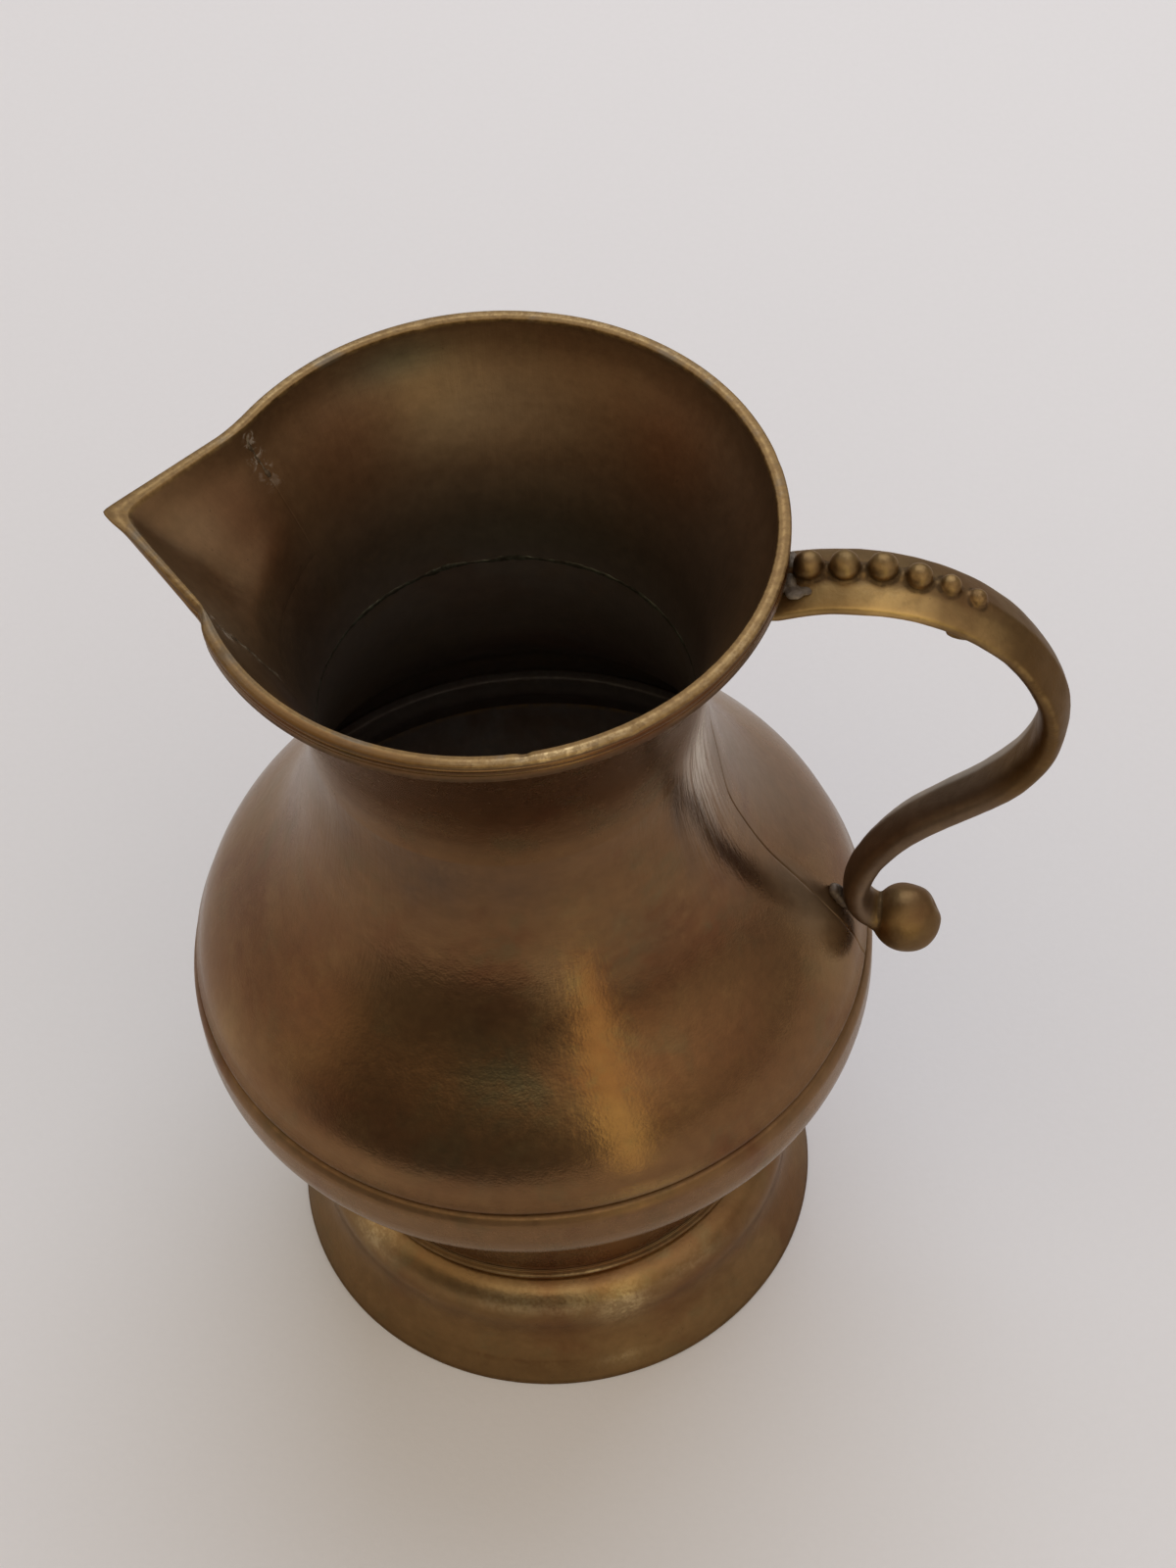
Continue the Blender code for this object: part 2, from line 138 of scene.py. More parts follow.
def edges_of(prof, scale=1.2):
    """Convexity of a closed profile, +1 on proud edges and -1 in crevices."""
    p = np.array(prof, float)
    n = len(p)
    out = np.zeros(n)
    s = np.r_[0, np.cumsum(np.hypot(*np.diff(np.vstack([p, p[:1]]), axis=0).T))]
    total = s[-1]
    s = s[:-1]
    ext = np.r_[s - total, s, s + total]
    ex = np.r_[p[:, 0], p[:, 0], p[:, 0]]
    ez = np.r_[p[:, 1], p[:, 1], p[:, 1]]
    for i in range(n):
        a = np.interp([s[i] - scale, s[i] + scale], ext, ex)
        b = np.interp([s[i] - scale, s[i] + scale], ext, ez)
        mid = np.array([a.mean(), b.mean()])
        chord = np.array([a[1] - a[0], b[1] - b[0]])
        nrm = np.array([-chord[1], chord[0]])
        ln = np.hypot(*nrm)
        out[i] = float((p[i] - mid) @ nrm / ln / scale) if ln > 1e-6 else 1.0
    return out


def orientation(prof):
    p = np.array(prof, float)
    q = np.roll(p, -1, axis=0)
    return np.sign((p[:, 0] * q[:, 1] - q[:, 0] * p[:, 1]).sum())


# -------------------------------------------------------------- mesh helpers
def new_mesh(name, verts, faces, attrs=None, sharp=None):
    me = bpy.data.meshes.new(name)
    me.from_pydata([tuple(v) for v in np.asarray(verts) * MM], [], faces)
    me.update()
    bm = bmesh.new()
    bm.from_mesh(me)
    bmesh.ops.recalc_face_normals(bm, faces=bm.faces)
    if bm.calc_volume(signed=True) < 0:
        bmesh.ops.reverse_faces(bm, faces=bm.faces)
    bm.to_mesh(me)
    bm.free()
    for key, values in (attrs or {}).items():
        a = me.attributes.new(key, "FLOAT", "POINT")
        a.data.foreach_set("value", np.asarray(values, np.float32))
    me.shade_smooth()
    if sharp:
        me.set_sharp_from_angle(angle=math.radians(sharp))
    obj = bpy.data.objects.new(name, me)
    bpy.context.scene.collection.objects.link(obj)
    return obj


def ripple(x, y, z, scale, seed):
    """Smooth noise at points in mm, one value each."""
    s = 1.0 / scale
    return np.array([noise.noise(Vector((a * s + seed, b * s - seed, c * s + 3.1 * seed)))
                     for a, b, c in zip(x, y, z)])


def revolve(name, prof, cols, waves=0.05, seed=1.0, seam=None, closed=True, sharp=None, inside=None):
    """Closed profile (mm) swept round Z over the given azimuths, a little untrue."""
    prof = np.array(prof, float)
    m, n = len(prof), len(cols)
    th = np.asarray(cols)
    r = np.repeat(prof[:, 0][None], n, 0)
    z = np.repeat(prof[:, 1][None], n, 0)
    c, s = np.cos(th)[:, None], np.sin(th)[:, None]
    if waves:
        amp = (np.minimum(1.0, r / 8.0) * smoothstep(np.abs(z - NECK_Z), 0.3, 6.0)).ravel()
        d = waves * (ripple((r * c).ravel(), (r * s).ravel(), z.ravel(), 22, seed)
                     + 0.45 * ripple((r * c).ravel(), (r * s).ravel(), z.ravel(), 9, seed + 5))
        r = r + (d * amp).reshape(r.shape)
    if seam is not None:
        r = r + seam(th, prof)
    co = np.stack([r * c, r * s, z], -1).reshape(-1, 3)
    pole = np.nonzero(prof[:, 0] < 1e-6)[0]
    faces = []
    rng = range(m) if closed else range(m - 1)
    for i in range(n):
        j = (i + 1) % n
        for k in rng:
            l = (k + 1) % m
            if k in pole and l in pole:
                continue
            if k in pole:
                faces.append((pole_index(k), i * m + l, j * m + l))
            elif l in pole:
                faces.append((i * m + k, pole_index(l), j * m + k))
            else:
                faces.append((i * m + k, i * m + l, j * m + l, j * m + k))
    conv = edges_of(prof) * orientation(prof) * (1 if closed else 1)
    conv = conv * smoothstep(np.abs(prof[:, 1] - NECK_Z), 0.8, 1.6)
    wear = np.tile(np.clip(conv, 0, 1), n)
    dirt = np.tile(np.clip(-conv, 0, 1), n)
    deep = np.tile(inside if inside is not None else np.zeros(m), n)
    if len(pole):
        keep = np.ones(n * m, bool)
        for p in pole:
            keep[[i * m + p for i in range(1, n)]] = False
        remap = np.cumsum(keep) - 1
        faces = [tuple(int(remap[v]) for v in f) for f in faces]
        co, wear, dirt, deep = co[keep], wear[keep], dirt[keep], deep[keep]
    return new_mesh(name, co, faces, {"wear": wear, "dirt": dirt, "inside": deep}, sharp)


def pole_index(k):
    return k


def columns(step=1.0, fine=()):
    """Azimuths in radians, with extra ones around the given azimuths."""
    base = set(np.round(np.arange(0, 360, step), 4).tolist())
    for at, half, st in fine:
        base |= set(np.round((at + np.arange(-half, half + 1e-6, st)) % 360, 4).tolist())
    return np.radians(sorted(base))


# ------------------------------------------------------------------ profiles
body = cubic(FLARE + [(NECK_R, NECK_Z)] + SHOULDER, 0.6, 30)
cut = int(np.argmin(abs(body[:, 1] - NECK_Z)))
body[cut, 1] = NECK_Z
flare, shoulder = body[:cut + 1], body[cut:]
flare_in = offset(flare, WALL)
flare_in[-1, 1] = NECK_Z
shoulder_in = offset(shoulder, WALL)
shoulder_in[0, 1] = NECK_Z
r_flare = radius_at(np.vstack([[(RIM_R, RIM_Z + 1), (RIM_R, RIM_Z), (39.9, 159.6)], flare]))
keep = flare_in[:, 1] < 156.6
inner_flare = np.vstack([[(RIM_IN, RIM_Z - 0.25), (38.12, 160.4), (37.9, 159.4), (37.5, 158.2)],
                         flare_in[keep]])
inner_flare = np.vstack([inner_flare[:1], cubic(inner_flare[1:], 0.7, 12)])
r_inner = radius_at(np.vstack([[(RIM_IN, RIM_Z + 1)], inner_flare]))


# ------------------------------------------------------------ mouth and spout
def half_width(z):
    return NOTCH_LOW + (NOTCH_TOP - NOTCH_LOW) * (z - 140.0) / (RIM_Z - 140.0)


def spout_bump(phi, z, inner):
    """How far the V of the spout stands out of the round mouth."""
    s_in = radius_at(cubic(VALLEY, 0.5, 10))(z)
    r = (r_inner if inner else r_flare)(z)
    half = half_width(z)
    if inner:
        tip = s_in
        blunt = 0.030 + 0.04 * smoothstep(-z, -156, -146)
    else:
        x_in = np.sqrt(np.maximum(r_inner(z) ** 2 - half ** 2, 1))
        lean = np.arctan2(half, np.maximum(s_in - x_in, 0.1))
        wall = WALL / np.maximum(np.sin(lean), 0.5)
        rise = np.clip((z - 152.0) / (RIM_Z - 152.0), 0, 1)
        tip = s_in + wall + (SPOUT_TIP - VALLEY[-1][0] - wall) * rise
        blunt = 0.007
    x_e = np.sqrt(np.maximum(r ** 2 - half ** 2, 1))
    m = np.maximum(tip - x_e, 0.0) / half
    edge = np.arcsin(np.clip(half / r, 0, 0.95))
    a = np.minimum(np.abs(phi), edge)
    sn = np.sqrt(np.sin(a) ** 2 + blunt ** 2) - blunt
    se = np.sqrt(np.sin(edge) ** 2 + blunt ** 2) - blunt
    v = tip / (np.cos(a) + m * np.sin(edge) * sn / se)
    d = v - r - np.maximum(np.abs(phi) - edge, 0) * 0.36 * r
    k = 0.95 if inner else 1.15
    soft = np.where(d > k, d, np.where(d < -k, 0.0, (d + k) ** 2 / (4 * k)))
    return soft * smoothstep(z, 137.5, 145.0)


def mouth():
    """Collar and spout on one shared surface, parted along the notch."""
    top = rounded([(39.0, RIM_Z, 0), (RIM_R, RIM_Z, 0.38), (RIM_R, 160.38, 0.12),
                   (39.66, 160.2, 0.1), (39.9, 160.02, 0.1), (40.0, 159.66, 0.2), (39.9, 159.32, 0.1),
                   (39.68, 159.18, 0.06), (39.84, 159.0, 0.1), (39.84, 157.75, 0.12),
                   (39.3, 157.55, 0.15)], 4)
    below = flare[flare[:, 1] < 157.0]
    outer = np.vstack([top, below])
    smooth_r = r_flare(outer[:, 1])
    lip = np.array([(39.0, RIM_Z, 1.0)])
    inner = inner_flare
    edge = rounded([(38.9, RIM_Z, 0), (RIM_IN + 0.05, RIM_Z, 0.22), (RIM_IN, RIM_Z - 0.4, 0)], 4)[1:]
    inner = np.vstack([inner_flare[inner_flare[:, 1] < RIM_Z - 0.5]])
    # the closed loop: outer side down, the neck end, the inner side up, the top
    loop, layer, grooved = [], [], []
    for r, z in outer:
        loop.append((r, z)); layer.append(0.0); grooved.append(r - r_flare(z))
    for r, z in inner[::-1]:
        loop.append((r, z)); layer.append(1.0); grooved.append(0.0)
    for r, z in edge[::-1]:
        loop.append((r, z)); layer.append(1.0); grooved.append(0.0)
    for t in np.linspace(0, 1, 5)[1:-1]:
        loop.append((RIM_IN + 0.3 + (39.0 - RIM_IN - 0.3) * t, RIM_Z)); layer.append(1 - 0.55 * t); grooved.append(0.0)
    loop, layer, grooved = np.array(loop), np.array(layer), np.array(grooved)
    layer = np.where((loop[:, 1] > RIM_Z - 1e-6) & (loop[:, 0] > 38.9) & (layer < 0.5),
                     np.clip((RIM_R - loop[:, 0]) / (RIM_R - RIM_IN), 0, 1), layer)
    # rings at the notch's lower edge, so that the parting has its own row
    top_rows = loop[:, 1] > NOTCH_Z
    a = int(np.nonzero(~top_rows)[0][0])
    b = int(np.nonzero(~top_rows)[0][-1])
    loop[a, 1] = loop[b, 1] = NOTCH_Z
    loop[a, 0], loop[b, 0] = r_flare(NOTCH_Z), r_inner(NOTCH_Z)
    m = len(loop)
    seam = 24.2
    cols = sorted(set(np.round(np.concatenate([
        np.arange(-seam, seam + 1e-6, seam / 44), np.arange(25, 336, 1.0) % 360,
        [seam - .35, seam - .18, seam + .18, seam + .35, -seam + .35, -seam - .35, -seam + .18, -seam - .18]]), 4)
        % 360))
    cols = np.array(cols)
    sg = (cols + 180) % 360 - 180
    phi = np.radians(sg)
    n = len(cols)
    R = np.repeat(loop[:, 0][None], n, 0)
    Z = np.repeat(loop[:, 1][None], n, 0)
    fade = smoothstep(np.abs(sg), 22.0, 27.0)[:, None]
    R = R - grooved[None] * (1 - fade) * (layer[None] < 0.5) * (Z < RIM_Z - 0.7)
    bump_o = spout_bump(phi[:, None], Z, False)
    bump_i = spout_bump(phi[:, None], Z, True)
    R = R + bump_o * (1 - layer[None]) + bump_i * layer[None]
    # the spout's wall is filed thin at its front root, and its front edge is bevelled
    root = np.exp(-((sg - 25.5) / 3.0) ** 2)[:, None] * smoothstep(Z, 150, 158)
    R = R - 0.55 * root * (1 - layer[None])
    side = (smoothstep(sg, 1.5, 5.0) * (1 - smoothstep(sg, 23.0, 29.0)))[:, None]
    R = R - 0.62 * side * smoothstep(Z, RIM_Z - 1.5, RIM_Z - 0.1) * (1 - layer[None])
    # a fine filed line along the parting
    line = np.exp(-((np.abs(sg) - seam) / 0.16) ** 2)[:, None] * (Z > NOTCH_Z - 0.2)
    line = line * (Z < RIM_Z - 0.5)
    flat = (np.abs(sg) < seam)[:, None] * np.exp(-((Z - NOTCH_Z) / 0.2) ** 2)
    R = R + np.where(layer[None] < 0.5, -1, 1) * 0.05 * np.maximum(line, flat)
    th = math.pi + phi
    c, s = np.cos(th)[:, None], np.sin(th)[:, None]
    x, y = (R * c).ravel(), (R * s).ravel()
    w = 0.05 * ripple(x, y, Z.ravel(), 20, 2.0) + 0.02 * ripple(x, y, Z.ravel(), 7, 4.0)
    R = R + w.reshape(R.shape) * smoothstep(-Z, -RIM_Z, -RIM_Z + 4) * smoothstep(Z, NECK_Z + 0.3, NECK_Z + 6)
    # hand wear on the rim: the edges wander, with a few knocks
    rim_z = ripple(x, y, Z.ravel(), 11, 8.0).reshape(R.shape)
    Z = Z + np.where(Z > RIM_Z - 0.45, 0.07 * (rim_z - 0.35), 0)
    for az, rr, zz, dep, wid in ((303.6, 39.9, 161.2, 0.35, 1.0), (283.5, 38.3, 161.2, 0.4, 0.7),
                                 (216.0, 39.9, 161.2, 0.2, 0.9), (262.0, 39.9, 160.9, 0.15, 0.7),
                                 (20.0, 39.9, 161.2, 0.2, 1.0), (110.0, 38.4, 161.2, 0.25, 0.9)):
        px, py = rr * math.cos(math.radians(az)), rr * math.sin(math.radians(az))
        d2 = ((R * c - px) ** 2 + (R * s - py) ** 2 + (Z - zz) ** 2) / wid ** 2
        Z = Z - dep * np.exp(-d2)
    co = np.stack([R * c, R * s, Z], -1)
    conv = edges_of(loop, 0.8) * orientation(loop)
    conv = conv * smoothstep(np.abs(loop[:, 1] - NECK_Z), 0.8, 1.6)
    wear = np.tile(np.clip(conv, 0, 1), n)
    dirt = np.tile(np.clip(-conv, 0, 1), n)
    # the bright face of the rim
    face = np.tile(smoothstep(loop[:, 1], RIM_Z - 0.7, RIM_Z - 0.25), n)
    # distance to the parting, for the braze that stains it
    near = np.abs((np.abs(sg) - seam))[:, None] * np.ones(m)[None] * 0.65
    near = np.where(Z < NOTCH_Z, np.hypot(np.maximum(near, 0), NOTCH_Z - Z), near)
    stain = np.exp(-(near / 1.4) ** 2) * (layer[None] > 0.5) * (Z < RIM_Z - 1.0)
    deep = np.tile(layer * smoothstep(-loop[:, 1], -RIM_Z, -RIM_Z + 0.6), n)
    attrs = {"wear": wear, "dirt": dirt, "face": face, "stain": stain.ravel(), "inside": deep}
    inside = np.abs(sg) < seam - 1e-3
    at = lambda i, k: i * m + k
    order = np.argsort(sg)
    collar_f, spout_f = [], []
    for i in range(n):
        j = (i + 1) % n
        notch = abs(sg[i]) <= seam + 1e-3 and abs(sg[j]) <= seam + 1e-3
        for k in range(m):
            l = (k + 1) % m
            low = a <= k < b
            face_ = (at(i, k), at(i, l), at(j, l), at(j, k))
            if notch and not low:
                spout_f.append(face_)
            else:
                collar_f.append(face_)
        if notch:
            wall = (at(i, a), at(i, b), at(j, b), at(j, a))
            collar_f.append(wall)
            spout_f.append(tuple(reversed(wall)))
    upper = list(range(b, m)) + list(range(0, a + 1))
    for side in (seam, -seam):
        i = int(np.argmin(abs(sg - side)))
        cap = tuple(at(i, k) for k in upper)
        collar_f.append(cap)
        spout_f.append(tuple(reversed(cap)))
    out = []
    for name, faces in (("mouth_collar_skin", collar_f), ("spout_skin", spout_f)):
        used = sorted({v for f in faces for v in f})
        mp = {v: q for q, v in enumerate(used)}
        vs = co.reshape(-1, 3)[used]
        out.append(new_mesh(name, vs, [tuple(mp[v] for v in f) for f in faces],
                            {k: np.asarray(v)[used] for k, v in attrs.items()}, 50))
    return out


def patches(obj, name, spots, where=None):
    """Soft places on a turned piece: azimuth, height, spans in degrees and mm, strength."""
    n = len(obj.data.vertices)
    co = np.empty(n * 3)
    obj.data.vertices.foreach_get("co", co)
    co = co.reshape(-1, 3) / MM
    az = np.degrees(np.arctan2(co[:, 1], co[:, 0])) % 360
    out = np.zeros(n)
    for a, zz, da, dz, w in spots:
        d = (az - a + 180) % 360 - 180
        out = np.maximum(out, w * np.exp(-(d / da) ** 2 - ((co[:, 2] - zz) / dz) ** 2))
    if where is not None:
        out = out * where(np.hypot(co[:, 0], co[:, 1]), co[:, 2])
    at = obj.data.attributes.new(name, "FLOAT", "POINT")
    at.data.foreach_set("value", out.astype(np.float32))


RUDDY = [(222, 91, 15, 9, 0.8), (243, 80, 13, 8, 0.8), (250, 101, 15, 7, 0.5), (320, 83, 14, 8, 0.55),
         (340, 95, 12, 10, 0.4), (200, 86, 10, 8, 0.4), (258, 74, 12, 4, 0.5), (300, 66, 30, 3, 0.4),
         (20, 85, 20, 12, 0.5), (80, 95, 25, 12, 0.5), (140, 80, 18, 10, 0.6), (100, 60, 30, 8, 0.5)]
GREEN = [(273, 88, 11, 8, 0.9), (264, 80, 10, 5, 0.5), (305, 103, 12, 8, 0.5), (295, 112, 10, 6, 0.3),
         (60, 82, 20, 10, 0.5), (120, 98, 18, 9, 0.5), (165, 90, 12, 8, 0.4), (10, 50, 30, 8, 0.4)]


# ------------------------------------------------------------- turned pieces
def seam_line(th, prof):
    """The brazed seam down the body in the handle's plane, a shallow channel."""
    d = ((th + math.pi) % TAU - math.pi)[:, None] * prof[:, 0][None]
    wander = np.interp(prof[:, 1], (70, 82.5, 86.5, 90.5, 97.5, 101, 106, 110, 113, 117, 124),
                       (-3.6, -3.2, -2.6, -2.0, -1.2, -1.2, -1.4, -0.3, 1.2, 2.0, 2.2))
    wander = (np.convolve(np.pad(wander, 4, "edge"), np.ones(9) / 9, "valid")
              + 0.12 * np.sin(prof[:, 1] / 2.3 + 1))[None]
    outer = (np.arange(len(prof)) < len(shoulder))[None]
    return -0.13 * np.exp(-((d - wander) / 0.16) ** 2) * outer


def shoulder_piece():
    low = rounded([(float(np.interp(72.8, shoulder[::-1, 1], shoulder[::-1, 0])), 72.8, 0), (51.38, 70.9, 0.9),
                   (51.3, 70.2, 0.4), (51.0, 69.75, 0.25), (50.8, 69.5, 0)], 6)
    inner = shoulder_in[shoulder_in[:, 1] > 70.8]
    prof = np.vstack([shoulder[shoulder[:, 1] > 72.8], low, [(49.3, 69.35)],
                      inner[::-1]])
    cols = columns(1.0, [(0, 5.4, 0.13)])
    deep = (np.arange(len(prof)) >= len(prof) - len(inner)).astype(float)
    return revolve("shoulder_skin", prof, cols, 0.07, 1.7, seam_line, sharp=50, inside=deep)


def bowl_piece():
    wall = cubic(BOWL, 0.7, 12)
    inner = offset(wall, BOWL_WALL)
    inner = inner[(inner[:, 1] > 29.0) & (inner[:, 1] < 61.5)]
    # from the floor's middle under the bowl, up the outside, over the lip, down inside
    path = [(0.0, 23.3), (15.0, 23.3), (33.6, 23.3)]
    path += [tuple(p) for p in wall[::-1]]
    path += rounded([(52.28, 64.0, 0), (52.22, 67.7, 2.2), (51.5, 69.05, 0.5),
                     (50.85, 69.34, 0)], 7)[1:]
    path += [(48.6, 69.3)]
    path += rounded([(48.1, 69.2, 0), (48.1, 72.5, 0.35), (46.3, 72.5, 0.5), (46.3, 68.4, 1.5),
                     (48.0, 65.6, 1.5), (49.3, 62.4, 0)], 4)
    path += [tuple(p) for p in inner]
    path += [(32.6, 27.6), (31.4, 26.2), (28.0, 25.5), (15.0, 25.2), (0.0, 25.2)]
    top = max(range(len(path)), key=lambda i: path[i][1])
    deep = (np.arange(len(path)) >= top).astype(float)
    return revolve("lower_bowl_skin", path, columns(1.0), 0.05, 3.3, sharp=50, closed=False, inside=deep)


def foot_piece():
    collar = rounded([(32.6, 22.98, 0), (34.3, 22.98, 0.1), (34.35, 22.6, 0.1), (35.0, 22.45, 0.3),
                      (35.15, 22.1, 0.3), (34.7, 21.6, 0.2), (34.35, 21.2, 0.15), (34.4, 20.5, 0)], 4)
    cove = cubic([(34.5, 20.5), (35.7, 20.0), (36.95, 18.95), (38.05, 17.5), (38.75, 15.8), (38.95, 14.0),
                  (38.85, 12.2), (38.95, 10.2), (39.45, 8.0), (40.35, 5.6), (41.4, 3.3)], 0.45, 6)
    edge = rounded([(41.45, 3.2, 0), (42.38, 1.05, 0.5), (42.58, 0.55, 0.2), (42.58, 0.15, 0.1), (42.35, 0.0, 0)], 4)
    inner = cubic([(40.0, 0.0), (39.7, 0.9), (38.7, 3.4), (37.2, 7.0), (36.3, 10.6),
                   (36.3, 14.0), (35.4, 16.8), (33.8, 18.6), (32.6, 19.8), (32.35, 21.4),
                   (32.35, 22.98)], 1.0, 3)
    prof = np.vstack([collar, cove, edge, inner])
    obj = revolve("foot_skin", prof, columns(1.0), 0.05, 6.1, sharp=50)
    # rubbed places on the foot's round shoulder and collar, partly real wear and partly painted highlight
    patches(obj, "rub_and_painted_highlight", [(268, 18.0, 11, 1.8, 0.45), (281, 17.6, 7, 2.0, 0.45), (293, 15.0, 6, 3.2, 1.0),
                         (226, 18.6, 7, 2.6, 0.65), (312, 17.3, 10, 1.6, 0.20), (267, 22.2, 6, 0.6, 0.5), (285, 22.2, 8, 0.6, 0.8),
                         (291, 3.7, 5, 0.9, 0.35), (20, 18.2, 16, 1.5, 0.5), (95, 18.0, 24, 1.6, 0.5), (160, 18.3, 18, 1.5, 0.45)],
            lambda r, z: ((r > 34.2) & (z < 20.6)) | (r > 34.75))
    # browner places on its slope, partly patina and partly painted shade: a darker band under the shoulder's highlight,
    # and a thin dark line above its edge
    patches(obj, "brown_and_painted_shade", [(262, 12.0, 22, 3.0, 0.6), (330, 15.0, 10, 6, 0.8), (226, 6.0, 22, 7, 0.4), (274, 3.8, 12, 1.5, 0.5),
                           (318, 9.0, 14, 6, 0.5), (345, 10.0, 10, 6, 0.6), (265, 4.4, 45, 0.45, 0.7),
                           (60, 10.0, 25, 6, 0.5), (130, 8.0, 30, 6, 0.5), (180, 12.0, 18, 5, 0.5)],
            lambda r, z: ((r > 34.2) & (z < 20.6)) | (r > 38.4))
    return obj


# -------------------------------------------------------------------- handle
def loft(rings):
    m = len(rings[0])
    co = np.vstack(rings)
    faces = []
    for i in range(len(rings) - 1):
        for k in range(m):
            l = (k + 1) % m
            faces.append((i * m + k, i * m + l, (i + 1) * m + l, (i + 1) * m + k))
    faces.append(tuple(range(m - 1, -1, -1)))
    faces.append(tuple((len(rings) - 1) * m + k for k in range(m)))
    return co, faces


def sphere(cx, cy, cz, rx, ry=None, rz=None, seg=32, rows=20):
    ry, rz = ry or rx, rz or rx
    co, faces = [], []
    for i in range(1, rows):
        t = math.pi * i / rows
        for k in range(seg):
            a = TAU * k / seg
            co.append((cx + rx * math.sin(t) * math.cos(a), cy + ry * math.sin(t) * math.sin(a),
                       cz + rz * math.cos(t)))
    co += [(cx, cy, cz + rz), (cx, cy, cz - rz)]
    top, bot = len(co) - 2, len(co) - 1
    for i in range(rows - 2):
        for k in range(seg):
            l = (k + 1) % seg
            faces.append((i * seg + k, (i + 1) * seg + k, (i + 1) * seg + l, i * seg + l))
    for k in range(seg):
        l = (k + 1) % seg
        faces.append((top, k, l))
        faces.append((bot, (rows - 2) * seg + l, (rows - 2) * seg + k))
    return np.array(co), faces


